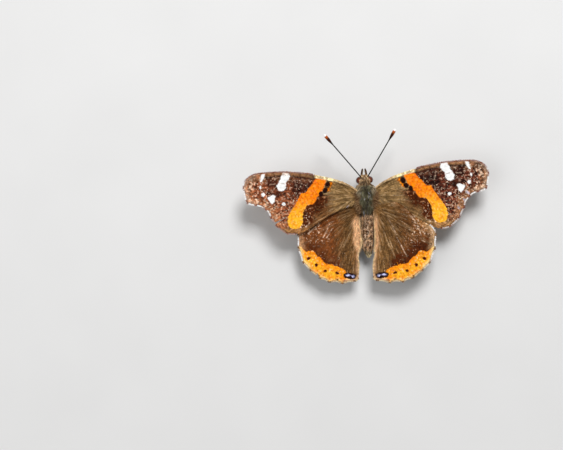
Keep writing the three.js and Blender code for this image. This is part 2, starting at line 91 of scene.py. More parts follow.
# Wings: a right wing spread flat. Stems and branches are the veins, bays lists the ends of the
# veins from front to rear with how far the margin stands out ahead of each, and hidden is the
# share of a vein that doesn't show.
ROOT_X = 1.5
FOREWING = {
    "hinge": (2.2, 1.0),
    "stems": {
        "front": [(ROOT_X, 2.2), (3.6, 3.75), (6.3, 5.1), (8.8, 5.93), (13.4, 7.03)],
        "Sc": [(ROOT_X, 1.9), (5.6, 4.35), (9.4, 5.65), (14.8, 7.35)],
        "R5": [(ROOT_X, 1.5), (5.5, 3.5), (10, 4.85), (14, 5.15), (20, 5.55), (26, 5.2), (31.05, 4.6)],
        "M2": [(ROOT_X, 1.1), (7, 2.3), (13.5, 3.3), (19, 3.7), (24.6, 2.3), (28.3, 0.3)],
        "M3": [(ROOT_X, 0.6), (5.5, 0.75), (9.5, 0.7), (12.9, 1.2), (17, 1.6), (21.2, 0.95), (25.9, -0.95)],
        "2A": [(ROOT_X, 0), (6, -0.75), (13.5, -4.1), (20.7, -8.05)],
        "rear": [
            (ROOT_X, -0.5), (5.4, -1.65), (7.9, -2.75), (10.4, -4.3),
            (14.6, -6.95), (16.5, -7.9), (18.4, -8.3),
        ],
    },
    "branches": {
        "R1": ("R5", 0.34, (16, 6.5), (19.6, 7.92)),
        "R2": ("R5", 0.44, (19, 6.9), (23.2, 8.03)),
        "R3": ("R5", 0.6, (22.5, 7.1), (26.4, 7.93)),
        "R4": ("R5", 0.7, (26, 6.9), (29.2, 7.33)),
        "M1": ("R5", 0.44, (24, 5.0), (30.35, 1.0)),
        "CuA1": ("M3", 0.4, (19, 0.5), (24.55, -3.4)),
        "CuA2": ("M3", 0.29, (16.6, -0.8), (23.2, -5.9)),
    },
    "bays": {
        "front": 0, "Sc": 0, "R1": 0.05, "R2": 0.05, "R3": 0.05, "R4": 0.2, "R5": 0.5, "M1": 0.05,
        "M2": 0.1, "M3": -0.3, "CuA1": -0.4, "CuA2": -0.1, "2A": 0.05, "rear": 0.1,
    },
    "hidden": {"M2": 0.45},
    "rays": (0.25, 0.14),
    "seed": 0,
}
HINDWING = {
    "hinge": (2.0, -2.0),
    "stems": {
        "front": [
            (ROOT_X, -1.2), (3.4, -1.3), (5.4, -1.15), (7.3, -1.05),
            (9, -2.2), (10.6, -3.9), (12.4, -5.6), (15.2, -7.25),
        ],
        "Sc": [(ROOT_X, -1.7), (5, -3.2), (9.5, -5.3), (13.5, -7.5), (16.75, -9.8)],
        "M1": [(ROOT_X, -2.1), (5, -4.9), (8.6, -8.5), (11.8, -12.5), (14.75, -16.85)],
        "M2": [(ROOT_X, -2.4), (4.7, -5.9), (7.6, -10), (10.4, -14.5), (12.75, -18.55)],
        "M3": [(ROOT_X, -2.7), (4.1, -6.5), (6.3, -11), (8.6, -16), (10.25, -20.4)],
        "2A": [(ROOT_X, -3), (2.9, -7.5), (2.75, -12), (2, -17), (1.35, -20.35)],
        "rear": [
            (ROOT_X, -3.5), (1.55, -5), (1.5, -7.3), (1.45, -9.6), (1.2, -11.8),
            (1.15, -13.9), (0.65, -15.4), (0.42, -17.5), (0.5, -19.5),
        ],
    },
    "branches": {
        "Rs": ("M1", 0.26, (12, -9), (16.25, -13.4)),
        "CuA1": ("M3", 0.42, (7.2, -16), (7.75, -21.2)),
        "CuA2": ("M3", 0.28, (4.3, -14), (4.5, -21.2)),
    },
    "bays": {
        "front": 0, "Sc": 0.25, "Rs": -0.15, "M1": -0.15, "M2": -0.15, "M3": -0.15,
        "CuA1": -0.35, "CuA2": -0.45, "2A": -0.2, "rear": 0.1,
    },
    "hidden": {"M2": 0.45},
    "rays": (0.27, 0.15),
    "seed": 20,
}
WINGS = {"forewing": FOREWING, "hindwing": HINDWING}
# How many points a stem and a bay have, and how many of the margin's belong to the front edge
STEM_POINTS = 48
BAY_POINTS = 14
FRONT_EDGE_POINTS = 75

# How each wing is held: sweep, dihedral and pitch in degrees, the shares of its length and of
# its rear half that show, the rise of its root above BODY_Z, and its tuck, which is how far
# its inner edge is drawn in against the abdomen
POSES = {
    "forewing_left": (1, 8, 2, 0.983, 0.9, 0.92, 0),
    "forewing_right": (0, 7, 3, 0.995, 1, 0.15, 0),
    "hindwing_left": (9.2, 4.5, 0, 1, 1, -0.12, 1.2),
    "hindwing_right": (0, 9.5, 0, 1, 1, 1.0, 0),
}
TUCK_Y = -9.5
TUCK_LENGTH = 3.5
TUCK_OUTER = 5
TUCK_WIDTH = 4
# Every wing bends down a little towards its tip and is slightly rippled
DROOP = 0.0014
RIPPLE = 0.07
RIPPLE_SIZE = 3.2
# The corners of the slit in one forewing and of the nick in one hindwing
TEARS = {
    "forewing_left": [(25.2, -5.7), (24.9, -6.4), (20.2, -3.4)],
    "hindwing_left": [(11.1, -20.3), (10.25, -20.55), (10.8, -18.85)],
}
# Half the skin's thickness, the spacing of its points, a vein's ridge, the reach over which the
# ridge sinks and by what share, and how many points are compared with the veins at a time
SKIN_HALF = 0.05
SKIN_STEP = 0.24
VEIN_RISE = 0.13
VEIN_WIDTH = 0.17
VEIN_REACH = 30
VEIN_SINKS = 0.55
FLOW_BLOCK = 4000

# The coat: spacing, length and width of the scales on the wings' two faces, where they begin,
# how far a scale's end lifts, the width and spacing of the fringe, the spacing of the wings'
# hair, the numbers of other locks and scales, and the size of a copy's patch and the border on
# the bake's unwrap
UPPER_SCALES = (0.175, 0.31, 0.2)
LOWER_SCALES = (0.24, 0.42, 0.28)
SCALES_FROM_X = 1.9
SCALE_LIFT = 0.055
FRINGE = 0.34
FRINGE_STEP = 0.045
WING_HAIR_STEP = 0.17
WING_ROOT_LOCKS = 1500
ABDOMEN_SCALES = 9000
EYE_HAIRS = 700
BROW_LOCKS = 420
BAKE_PATCH = 0.003
BAKE_BORDER = 0.02

# Points round the body and round a limb, and rings along the body
BODY_SIDES = 56
BODY_RINGS = 230
LIMB_SIDES = 14


def rgb(code):
    """The linear colour of a six-digit hex code."""
    value = np.array([int(code[i:i + 2], 16) for i in (0, 2, 4)]) / 255
    return np.where(value <= 0.04045, value / 12.92, ((value + 0.055) / 1.055) ** 2.4)


# The palette: wings first, then eyes, antennae, body, palps, proboscis and legs
OLIVE = rgb("aa8858")
OLIVE_PALE = rgb("d0b088")
OLIVE_DARK = rgb("53381c")
HAIR_PALE = rgb("d4ab74")
SEPIA = rgb("805c34")
UMBER = rgb("4a1f06")
SOOT = rgb("220c08")
RUSSET = rgb("783b28")
CHESTNUT = rgb("80451c")
ROSY = rgb("b58058")
# Pale flecks and spots, and painted glints: pale marks that stand for scales catching the light
PALE_MARK_AND_GLINT = rgb("f2d3b6")
RUST = rgb("dc5f14")
ORANGE = rgb("ff8a04")
AMBER = rgb("ffb428")
STRAW = rgb("ffd684")
CREAM = rgb("fce3ae")
WHITE = rgb("f3f3f2")
SPOT = rgb("200a06")
CLARET = rgb("5c1608")
BLUE = rgb("a9aae0")
LILAC = rgb("e0e0f6")
PEACH = rgb("ffc898")
TAN = rgb("b07a46")
GREY_GREEN = rgb("757157")
PALE_GREY = rgb("968870")
BROWN = rgb("6a4c30")
FAWN = rgb("b8946c")
UNDER_BROWN = rgb("4b382c")
UNDER_GREEN = rgb("5d6a58")
EYE_RED = rgb("6a280a")
EYE_DARK = rgb("1c0806")
SHAFT = rgb("0d0e09")
SHAFT_RING = rgb("3c3c30")
CLUB = rgb("381606")
CLUB_ORANGE = rgb("c05a18")
HEAD_BROWN = rgb("cca678")
HEAD_DARK = rgb("40241a")
HEAD_PALE = rgb("cbb08c")
ABDOMEN_BROWN = rgb("6c563e")
PALP_BROWN = rgb("5e3a26")
PALP_PALE = rgb("c9b795")
PALP_TIP = rgb("3a2018")
HORN = rgb("6a4020")
HORN_DARK = rgb("2c170c")
LEG_BROWN = rgb("7b6148")
LEG_PALE = rgb("bfa682")
LEG_DARK = rgb("4c3626")
KNEE_BROWN = rgb("6b5039")
FOOT_BROWN = rgb("8a6c4e")
SPUR_BROWN = rgb("4a3322")
CLAW_DARK = rgb("24150e")


# Numbers
def ramp(low, high, value):
    """A smooth rise from 0 at low to 1 at high, or a fall where high is the smaller."""
    t = np.clip((value - low) / (high - low), 0, 1)
    return t * t * (3 - 2 * t)


def bell(value, width):
    """A hump of height 1 over a value of 0."""
    return np.exp(-(value / width) ** 2)


def unit(vectors):
    """Each row at a length of 1."""
    lengths = np.hypot(*vectors.T) if vectors.shape[1] == 2 else np.linalg.norm(vectors, axis=1)
    return vectors / lengths[:, None]


def columns(*parts):
    """Rows of numbers or single numbers, side by side as columns."""
    return np.column_stack(np.broadcast_arrays(*parts))


def raised(plan, height):
    """Plan points with a height for each or one height for all."""
    return np.column_stack([plan, np.broadcast_to(height, len(plan))])


def laid_flat(along, normals):
    """Directions turned to lie in the surface that the normals stand on."""
    return unit(along - (along * normals).sum(1)[:, None] * normals)


def for_side(points, sign):
    """Points of the right side, or their mirror image on the left."""
    return np.array(points) * (sign, 1, 1)


def spans(rng, count, *limits):
    """Random sizes, with a column for each pair of limits."""
    return np.column_stack([rng.uniform(low, high, count) for low, high in limits])


def noise(points, size, seed):
    """A smooth random value from -1 to 1 at each 2-D point, with bumps about size apart."""
    cell = np.asarray(points) / size
    base = np.floor(cell).astype(np.int64)
    part = cell - base
    part = part * part * (3 - 2 * part)

    def corner(dx, dy):
        """The fixed value at a corner of each cell. The large numbers only mix the bits."""
        mixed = (base[:, 0] + dx) * 374761393 + (base[:, 1] + dy) * 668265263 + seed * 974634777
        mixed = (mixed ^ (mixed >> 13)) * 1274126177
        return ((mixed ^ (mixed >> 16)) & 0xFFFF) / 32767.5 - 1

    near = corner(0, 0) + (corner(1, 0) - corner(0, 0)) * part[:, 0]
    far = corner(0, 1) + (corner(1, 1) - corner(0, 1)) * part[:, 0]
    return near + (far - near) * part[:, 1]


def streaks(points, hinge, width, seed):
    """Noise drawn out along the lines that spread from a wing's hinge, about as wide everywhere."""
    away = points - hinge
    reach = np.maximum(np.hypot(*away.T), 1)
    turn = np.arctan2(away[:, 1], away[:, 0])
    total, power = np.zeros(len(points)), np.zeros(len(points))
    for octave in range(6):
        weight = np.clip(1 - np.abs(np.log2(reach) - octave), 0, 1)
        across = turn * 2**octave / width
        total += weight * noise(columns(across, reach * 0.4 + 5 * octave), 1, seed + octave)
        power += weight**2
    return total / np.sqrt(power)


def flecks(points, size, seed, low=0.35, high=0.7):
    """A weight from 0 to 1 that marks small scattered flecks about size across."""
    return ramp(low, high, noise(points, size, seed))


def mottle(points, size, seed):
    """Crisp light and dark patches about size across, from -1 to 1."""
    return 2 * ramp(-0.5, 0.5, noise(points, size, seed)) - 1


def evenly(path, count):
    """Points evenly spaced along a polyline."""
    steps = np.linalg.norm(np.diff(path, axis=0), axis=1)
    place = np.concatenate([[0], np.cumsum(steps)])
    wanted = np.linspace(0, place[-1], count)
    return np.column_stack([np.interp(wanted, place, column) for column in path.T])


def spline(points, count):
    """Points evenly spaced along the smooth curve that passes through the given ones."""
    points = np.asarray(points, float)
    padded = np.vstack([2 * points[0] - points[1], points, 2 * points[-1] - points[-2]])
    t = np.linspace(0, 1, 16)[:, None]
    pieces = []
    for a, b, c, d in zip(padded, padded[1:], padded[2:], padded[3:]):
        before, here, after = (np.linalg.norm(step) ** 0.5 for step in (b - a, c - b, d - c))
        leave = ((b - a) / before - (c - a) / (before + here) + (c - b) / here) * here
        arrive = ((c - b) / here - (d - b) / (here + after) + (d - c) / after) * here
        pieces.append(
            b * (2 * t**3 - 3 * t**2 + 1) + leave * (t**3 - 2 * t**2 + t)
            + c * (3 * t**2 - 2 * t**3) + arrive * (t**3 - t**2)
        )
    return evenly(np.vstack(pieces), count)


def path_distance(points, path):
    """The distance from each point to a polyline."""
    best = np.full(len(points), np.inf)
    path = np.asarray(path, float)
    for start, end in zip(path[:-1], path[1:]):
        side = end - start
        length = side @ side
        if length == 0:
            continue
        share = np.clip(((points - start) @ side) / length, 0, 1)
        gap = points - start - share[:, None] * side
        best = np.minimum(best, np.hypot(*gap.T))
    return best


def depth_inside(points, corners):
    """How far inside a closed outline each point lies, below zero outside it."""
    ring = np.vstack([corners, corners[:1]])
    inside = np.zeros(len(points), bool)
    x, y = points.T
    for (ax, ay), (bx, by) in zip(ring[:-1], ring[1:]):
        if ay == by:
            continue
        crosses = ((ay > y) != (by > y)) & (x < (bx - ax) * (y - ay) / (by - ay) + ax)
        inside ^= crosses
    return np.where(inside, 1, -1) * path_distance(points, ring)


def oval_depth(points, centre, radii, turn=0):
    """How far inside an oval each point lies, below zero outside it."""
    c, s = math.cos(math.radians(turn)), math.sin(math.radians(turn))
    away = (points - centre) @ np.array([[c, -s], [s, c]])
    return (1 - np.hypot(*(away / radii).T)) * min(radii)


# Colours
def tint(base, colour, weight):
    """A base colour, or one for each point, moved towards another by a weight."""
    return base + (colour - base) * np.asarray(weight)[..., None]


def layered(base, *layers):
    """The base colours with others laid over them in turn, each with its weight."""
    for colour, weight in layers:
        base = tint(base, colour, weight)
    return base


def within(depth, blur=0.07):
    """The weight of a mark whose points lie so deep inside it, with a slightly soft edge."""
    return ramp(-blur, blur, depth)


def with_ovals(base, points, ovals, colour, wobble, weight=1, blur=0.07):
    """The base colours with ovals laid over them, each a centre, two radii and a turn."""
    for oval in ovals:
        base = tint(base, colour, weight * within(oval_depth(points, *oval) + wobble, blur))
    return base


# Meshes
def make_piece(name, points, faces, finish, slot, colours, flat=False, bake=None):
    """A mesh object of plan points, painted point by point, that rides on the body."""
    mesh = bpy.data.meshes.new(name)
    placed = (np.asarray(points) + PLAN_ZERO) * MM
    mesh.from_pydata(placed.tolist(), [], np.asarray(faces).tolist())
    attribute = mesh.color_attributes.new("pattern", "FLOAT_COLOR", "POINT")
    paint = np.ones((len(placed), 4))
    paint[:, :3] = np.clip(colours, 0, 1)
    attribute.data.foreach_set("color", paint.ravel())
    if bake is not None:
        corners = np.zeros(len(mesh.loops), np.int32)
        mesh.loops.foreach_get("vertex_index", corners)
        mesh.uv_layers.new(name="OFBake").data.foreach_set("uv", np.asarray(bake)[corners].ravel())
    mesh.polygons.foreach_set("use_smooth", [not flat] * len(mesh.polygons))
    mesh.materials.append(finish)
    piece = bpy.data.objects.new(name, mesh)
    bpy.context.scene.collection.objects.link(piece)
    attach(piece, "root")
    return piece


def tube(path, radii, sides, flatten=1.0):
    """A closed round tube along 3-D points, with a radius for each. Gives points and faces."""
    ahead = unit(np.gradient(path, axis=0))
    normal = np.cross(ahead[0], UP)
    if np.linalg.norm(normal) < 0.1:
        normal = np.cross(ahead[0], (0.0, 1.0, 0.0))
    angle = np.linspace(0, 2 * np.pi, sides, endpoint=False)
    rings = []
    for centre, along, radius in zip(path, ahead, radii):
        normal = normal - (normal @ along) * along
        normal /= np.linalg.norm(normal)
        other = np.cross(along, normal)
        ring = np.outer(np.cos(angle), normal) + np.outer(np.sin(angle), other) * flatten
        rings.append(centre + radius * ring)
    return loft(np.array(rings))


def loft(rings):
    """A closed skin over rings of equal size that run along their own right-hand axis."""
    count, sides = rings.shape[:2]
    points = np.vstack([rings.reshape(-1, 3), rings[0].mean(0), rings[-1].mean(0)])
    j = np.arange(sides)
    k = (j + 1) % sides
    faces = []
    for a in range(0, (count - 1) * sides, sides):
        b = a + sides
        faces += [columns(a + j, a + k, b + k), columns(a + j, b + k, b + j)]
    last, first_hub, last_hub = (count - 1) * sides, count * sides, count * sides + 1
    faces += [columns(k, j, first_hub), columns(last + j, last + k, last_hub)]
    return points, np.vstack(faces)


def ring_shares(share, sides):
    """A share for each ring of a tube, given to each of its points, with the two hubs last."""
    return np.append(np.repeat(share, sides), (0, 1))


def together(parts):
    """Several (points, faces, colours) as one."""
    points, faces, colours = [], [], []
    count = 0
    for part_points, part_faces, part_colours in parts:
        points.append(part_points)
        faces.append(part_faces + count)
        colours.append(np.broadcast_to(part_colours, part_points.shape))
        count += len(part_points)
    return np.vstack(points), np.vstack(faces), np.vstack(colours)


# Small closed shapes, as long as +X, as wide as Y and as high as Z says
SCALE_SHAPE = (
    np.array([
        (0, 0, -0.15), (0.45, -0.5, 0.45), (0.45, 0.5, 0.45),
        (1, -0.3, 1), (1, 0.3, 1), (0.55, 0, 0.2),
    ]),
    np.array([
        (0, 1, 2), (1, 3, 4), (1, 4, 2),
        (1, 0, 5), (3, 1, 5), (4, 3, 5), (2, 4, 5), (0, 2, 5),
    ]),
)


def lock_shape():
    """A tapered, three-sided lock that rises and then lies over."""
    rings = [(0, 0.4, -0.1, 0.2), (0.35, 0.5, 0.55, 0.24), (0.7, 0.32, 0.9, 0.16)]
    points = []
    for along, half, height, thick in rings:
        points += [(along, -half, height), (along, half, height), (along, 0, height + thick)]
    points.append((1, 0, 1))
    faces = [(2, 1, 0)]
    for ring in (0, 3):
        for side in range(3):
            a, b = ring + side, ring + (side + 1) % 3
            faces += [(a, b, b + 3), (a, b + 3, a + 3)]
    faces += [(6, 7, 9), (7, 8, 9), (8, 6, 9)]
    return np.array(points), np.array(faces)


LOCK_SHAPE = lock_shape()


def coat_piece(name, kind, grown, colours, shades, bake_roots, slot, held=None, flip=False):
    """One mesh of many copies of a small shape. Kind is the shape and its finish, and grown is
    the copies' roots, directions, normals or the one for all, and sizes. Shades darken or
    lighten the colours at the root and the tip. Held moves the copies to where the animal
    holds them."""
    (shape_points, shape_faces), finish = kind
    roots, along, normals, sizes = grown
    lengths, widths, heights = (column[:, None] for column in sizes.T)
    axes = np.stack([along * lengths, np.cross(normals, along) * widths, normals * heights], axis=1)
    copies = roots[:, None] + np.einsum("vk,nkd->nvd", shape_points, axes)
    count, size = copies.shape[:2]
    points = copies.reshape(-1, 3)
    if held is not None:
        points = held(points)
    faces = shape_faces[:, ::-1] if flip else shape_faces
    faces = (faces + size * np.arange(count)[:, None, None]).reshape(-1, 3)
    share = np.clip(shape_points[:, 0], 0, 1)[None, :, None]
    root_colours, tip_colours = (colours * shade for shade in shades)
    painted = root_colours[:, None] + (tip_colours - root_colours)[:, None] * share
    bake = bake_roots[:, None] + (shape_points[:, :2] - (0.5, 0)) * BAKE_PATCH
    make_piece(
        name, points, faces, finish, slot, painted.reshape(-1, 3), flat=True, bake=bake.reshape(-1, 2),
    )


def bake_square(shares):
    """Places from 0 to 1 on an unwrap, moved inside its border."""
    return BAKE_BORDER + (1 - 2 * BAKE_BORDER) * shares


# Materials
def new_material(name):
    """A material with its shader and two functions: wire sets or links a node's inputs, and
    add makes a node and wires it."""
    made = bpy.data.materials.new(name)
    made.use_nodes = True
    tree = made.node_tree

    def wire(node, inputs):
        for socket, value in inputs.items():
            if isinstance(value, bpy.types.NodeSocket):
                tree.links.new(value, node.inputs[socket])
            else:
                node.inputs[socket].default_value = value
        return node

    def add(kind, inputs):
        return wire(tree.nodes.new(kind), inputs)

    return made, tree.nodes["Principled BSDF"], wire, add


def fine_finish(name, roughness, grain, bump, variation=0.12, specular=0.2, coat=0.0):
    """A material that takes its colour from the painted pattern, with a fine uneven grain.
    Grain is the size of the unevenness and bump its height, both in millimetres."""
    made, shader, wire, add = new_material(name)
    place = add("ShaderNodeTexCoord", {}).outputs["Object"]
    scale = 1 / (grain * MM)
    uneven = add("ShaderNodeTexNoise", {"Vector": place, "Scale": scale, "Detail": 3}).outputs["Fac"]

    def spread(middle, reach):
        limits = {"Value": uneven, "To Min": middle - reach, "To Max": middle + reach}
        return add("ShaderNodeMapRange", limits).outputs["Result"]

    painted = add("ShaderNodeAttribute", {})
    painted.attribute_name = "pattern"
    scaled = add("ShaderNodeVectorMath", {})
    scaled.operation = "SCALE"
    wire(scaled, {0: painted.outputs["Color"], "Scale": spread(1, variation)})
    relief_inputs = {"Height": uneven, "Strength": 0.6, "Distance": bump * MM}
    wire(shader, {
        "Base Color": scaled.outputs["Vector"],
        "Roughness": spread(roughness, 0.08),
        "Normal": add("ShaderNodeBump", relief_inputs).outputs["Normal"],
        "Specular IOR Level": specular,
        "Coat Weight": coat,
        "Coat Roughness": 0.15,
    })
    return made


MEMBRANE_FINISH = fine_finish("wing_membrane", 0.6, 0.12, 0.02)
SCALE_FINISH = fine_finish("wing_scales", 0.62, 0.05, 0.012, variation=0.1, specular=0.05)
HAIR_FINISH = fine_finish("fine_hair", 0.55, 0.06, 0.01, variation=0.16, specular=0.1)
CUTICLE_FINISH = fine_finish("body_cuticle", 0.5, 0.1, 0.02)
LIMB_FINISH = fine_finish("limb_cuticle", 0.45, 0.07, 0.015, variation=0.2, specular=0.35)
EYE_FINISH = fine_finish("eye_lenses", 0.42, 0.2, 0.004, variation=0.25, specular=0.25, coat=0.08)
SHAFT_FINISH = fine_finish("antenna_cuticle", 0.6, 0.07, 0.015, variation=0.2, specular=0.1)
TUBE_FINISH = fine_finish("proboscis_horn", 0.32, 0.08, 0.01, variation=0.2, specular=0.4, coat=0.3)
SCALES = (SCALE_SHAPE, SCALE_FINISH)
LOCKS = (LOCK_SHAPE, HAIR_FINISH)
LIMB_SCALES = (SCALE_SHAPE, HAIR_FINISH)


# Wing shapes
def vein_lines(wing):
    """Each line of a wing as a polyline, by name."""
    lines = {name: spline(path, STEM_POINTS) for name, path in wing["stems"].items()}
    for name, (stem, at, bend, end) in wing["branches"].items():
        start = lines[stem][round(at * (STEM_POINTS - 1))]
        t = np.linspace(0, 1, 24)[:, None]
        curve = start * (1 - t) ** 2 + np.array(bend) * 2 * t * (1 - t) + np.array(end) * t**2
        lines[name] = evenly(curve, 32)
    return lines


def margin_line(wing, lines):
    """The outer margin from front to rear, with the bays between the vein ends."""
    names = list(wing["bays"])
    pieces = []
    for ahead, behind in zip(names[:-1], names[1:]):
        start, end = lines[ahead][-1], lines[behind][-1]
        chord = end - start
        outward = np.array([-chord[1], chord[0]]) / np.hypot(*chord)
        share = np.linspace(0, 1, BAY_POINTS, endpoint=False)[:, None]
        pieces.append(start + chord * share + outward * wing["bays"][behind] * np.sin(np.pi * share))
    pieces.append(lines[names[-1]][-1][None])
    return np.vstack(pieces)


def prepare(wing):
    """Adds to a wing its veins, margin and outline, which every later step reads."""
    lines = vein_lines(wing)
    wing["hinge"] = np.array(wing["hinge"])
    wing["margin"] = margin_line(wing, lines)
    inset = wing["margin"] - wing["hinge"]
    wing["skin_margin"] = wing["hinge"] + inset * (1 - FRINGE / np.hypot(*inset.T)[:, None])
    wing["front"], wing["rear"] = lines["front"], lines["rear"]
    wing["veins"] = [
        line[int(wing["hidden"].get(name, 0) * len(line)):-2]
        for name, line in lines.items() if name not in ("front", "rear")
    ]
    wing["outline"] = np.vstack([wing["front"][:-1], wing["skin_margin"], wing["rear"][-2::-1]])
    wing["front_edge"] = np.vstack([wing["front"][:-1], wing["margin"][:FRONT_EDGE_POINTS]])


for each_wing in WINGS.values():
    prepare(each_wing)


def relief(wing, points):
    """Height of the veins' ridges over the membrane."""
    near = np.full(len(points), np.inf)
    for vein in wing["veins"]:
        near = np.minimum(near, path_distance(points, vein[::2]))
    reach = np.hypot(*(points - wing["hinge"]).T) / VEIN_REACH
    return VEIN_RISE * (1 - VEIN_SINKS * np.clip(reach, 0, 1)) * bell(near, VEIN_WIDTH)


def flow(wing, points):
    """The direction in which scales lie: along the veins near each point."""
    samples = np.vstack([line[::3] for line in wing["veins"]])
    along = unit(np.vstack([np.gradient(line, axis=0)[::3] for line in wing["veins"]]))
    lie = np.zeros(points.shape)
    for start in range(0, len(points), FLOW_BLOCK):
        block = slice(start, start + FLOW_BLOCK)
        gap = points[block, None] - samples[None]
        weight = 1 / ((gap**2).sum(2) + 0.3) ** 1.5
        lie[block] = weight @ along
    return unit(lie)


def posed(name, sign, flat):
    """Plan points of a wing held as in life, from flat ones: X, Y and height off the membrane."""
    sweep, dihedral, pitch, length_share, rear_share, rise, tuck = POSES[name]
    hinge_x, hinge_y = WINGS[name.split("_")[0]]["hinge"]
    turn = math.radians(sweep)
    x, y, height = flat.T
    ripple = RIPPLE * noise(flat[:, :2], RIPPLE_SIZE, 3) * ramp(2, 8, x)
    inner = np.clip((TUCK_OUTER - x) / TUCK_WIDTH, 0, 1)
    drawn_in = tuck * inner * bell(y - TUCK_Y, TUCK_LENGTH)
    dx = (x - drawn_in - hinge_x) * length_share
    dy = np.where(y < 0, y * rear_share, y) - hinge_y
    placed_x = hinge_x + dx * math.cos(turn) - dy * math.sin(turn)
    placed_y = hinge_y + dx * math.sin(turn) + dy * math.cos(turn)
    out = placed_x - ROOT_X
    z = BODY_Z + rise + out * math.tan(math.radians(dihedral)) - DROOP * out**2
    z += (placed_y - hinge_y) * math.tan(math.radians(pitch)) + ripple + height
    return columns(placed_x * sign, placed_y, z)


def coat_rng(first, kind, sign, face=0):
    """Random numbers of its own for each coat of each wing."""
    return np.random.default_rng(first + 10 * len(kind) + sign + face)


def lattice(outline, step, jitter, rng):
    """Staggered points inside an outline, each moved a little at random."""
    low, high = outline.min(0), outline.max(0)
    xs = np.arange(low[0], high[0], step)
    ys = np.arange(low[1], high[1], step * 0.87)
    x, y = np.meshgrid(xs, ys)
    x = x + np.where(np.arange(len(ys)) % 2, step / 2, 0)[:, None]
    points = columns(x.ravel(), y.ravel())
    points += rng.uniform(-jitter, jitter, points.shape) * step
    return points[depth_inside(points, outline) > 0]


def in_tear(name, points, room=0.0):
    """Whether points lie in or close to the tear of a wing."""
    if name not in TEARS:
        return np.zeros(len(points), bool)
    return depth_inside(points, TEARS[name]) > -room


# Markings of the forewing, on the flat right wing. An oval is a centre, two radii and a turn.
BAND_OUTER = [
    (12.5, 6.0), (13.0, 5.2), (13.6, 4.5), (14.2, 3.9), (14.8, 3.1), (15.2, 2.55), (16.3, 2.5),
    (16.9, 1.5), (17.4, 0.6), (18.1, -0.5), (18.8, -1.5), (19.45, -2.6), (19.95, -3.6),
    (20.15, -4.9), (19.9, -6.0), (19.3, -6.7), (18.3, -6.95),
]
BAND_INNER = [
    (17.2, -6.75), (16.55, -5.9), (16.25, -4.8), (16.25, -3.5), (16.1, -2.5), (15.65, -1.6),
    (15.1, -0.8), (14.6, -0.4), (13.9, -0.4), (13.2, -0.2), (12.6, 0.6), (12.3, 1.3),
    (11.6, 1.9), (11.2, 2.7), (10.7, 3.1), (10.4, 3.9), (10.05, 4.75), (9.8, 5.3), (10.1, 5.75),
]
BAR = [
    (19.4, 8.1), (20.7, 8.1), (20.9, 7.3), (21.25, 6.9), (21.3, 6.3), (21.7, 5.8), (22.1, 5.1),
    (22.5, 4.65), (22.2, 4.2), (22.1, 3.6), (21.4, 3.3), (20.6, 3.45), (20.1, 4.0), (20.05, 4.8),
    (19.95, 5.5), (19.3, 6.1), (18.95, 6.8), (19.1, 7.6),
]
APEX_BAR = [
    (25.3, 7.75), (26.1, 7.75), (26.25, 7.0), (26.3, 6.4),
    (26.65, 5.8), (26.25, 5.75), (25.75, 6.3), (25.3, 7.0),
]
BIG_SPOT = [
    (22.75, 2.2), (23.4, 2.5), (24.15, 2.2), (24.9, 2.0), (24.65, 1.3),
    (24.15, 0.5), (23.6, 0.3), (23.1, 0.85), (22.95, 1.6),
]
SMALL_SPOTS = [
    ((26.5, 4.5), (0.24, 0.4), 0), ((25.9, 2.7), (0.5, 0.45), 40), ((20.85, 0.1), (0.48, 0.38), 10),
]
FAINT_SPOTS = [
    ((25.4, 0.1), (0.6, 0.32), -40), ((24.4, -1.6), (0.45, 0.25), -60), ((22.9, -3.6), (0.4, 0.22), -60),
]
CELL_RIMS = [((8.95, 4.2), (0.85, 0.5), -62), ((9.55, 3.1), (0.75, 0.42), -50)]
CELL_SPOTS = [
    ((9.5, 4.25), (0.8, 0.7), -62), ((10.2, 2.95), (0.74, 0.62), -55), ((11.35, 2.15), (0.66, 0.54), -65),
]
# Painted glints at the wings' bases: small pale lilac ovals where scales catch the light
BASE_GLINTS = [((2.75, -1.55), (0.36, 0.2), 20), ((4.75, -1.75), (0.34, 0.2), 50)]
# Dark patches: centre, stretch along X, reach of the soft edge, reach of the core and weight
DUSK_PATCHES = [
    ((22.8, 6.0), 1.5, 2.4, 1.2, 0.75),
    ((22.5, 3.2), 1.5, 2.2, 1.0, 0.55),
    ((28.0, 6.6), 1.2, 1.4, 0.6, 0.6),
]


def wing_fields(wing, points, draw):
    """What the upper sides' colours vary with: broad and fine rays, soft patches, crisp ones
    and a wobble for the edges of marks."""
    seed = wing["seed"]
    broad, fine = (
        streaks(points, wing["hinge"], width, ray_seed + seed)
        for width, ray_seed in zip(wing["rays"], (11, 211))
    )
    patchy = noise(points, 1.1, 17 + seed)
    mottled = mottle(points, 0.34, 19 + seed)
    wobble = 0.07 * noise(points, 0.4, 23 + seed) + 0.05 * (draw[:, 0] - 0.5)
    return broad, fine, patchy, mottled, wobble


def with_grain(colour, depth, calm, mottled, draw):
    """The colours with lighter and darker scales, fewer of them deep in a mark and on white."""
    grain = 0.34 - calm * within(depth, 0.1)
    grain *= 1 - 0.85 * ramp(0.55, 0.8, colour.min(1))
    return colour * (1 + grain * mottled + 1.8 * grain * (draw[:, 2] - 0.5))[:, None]


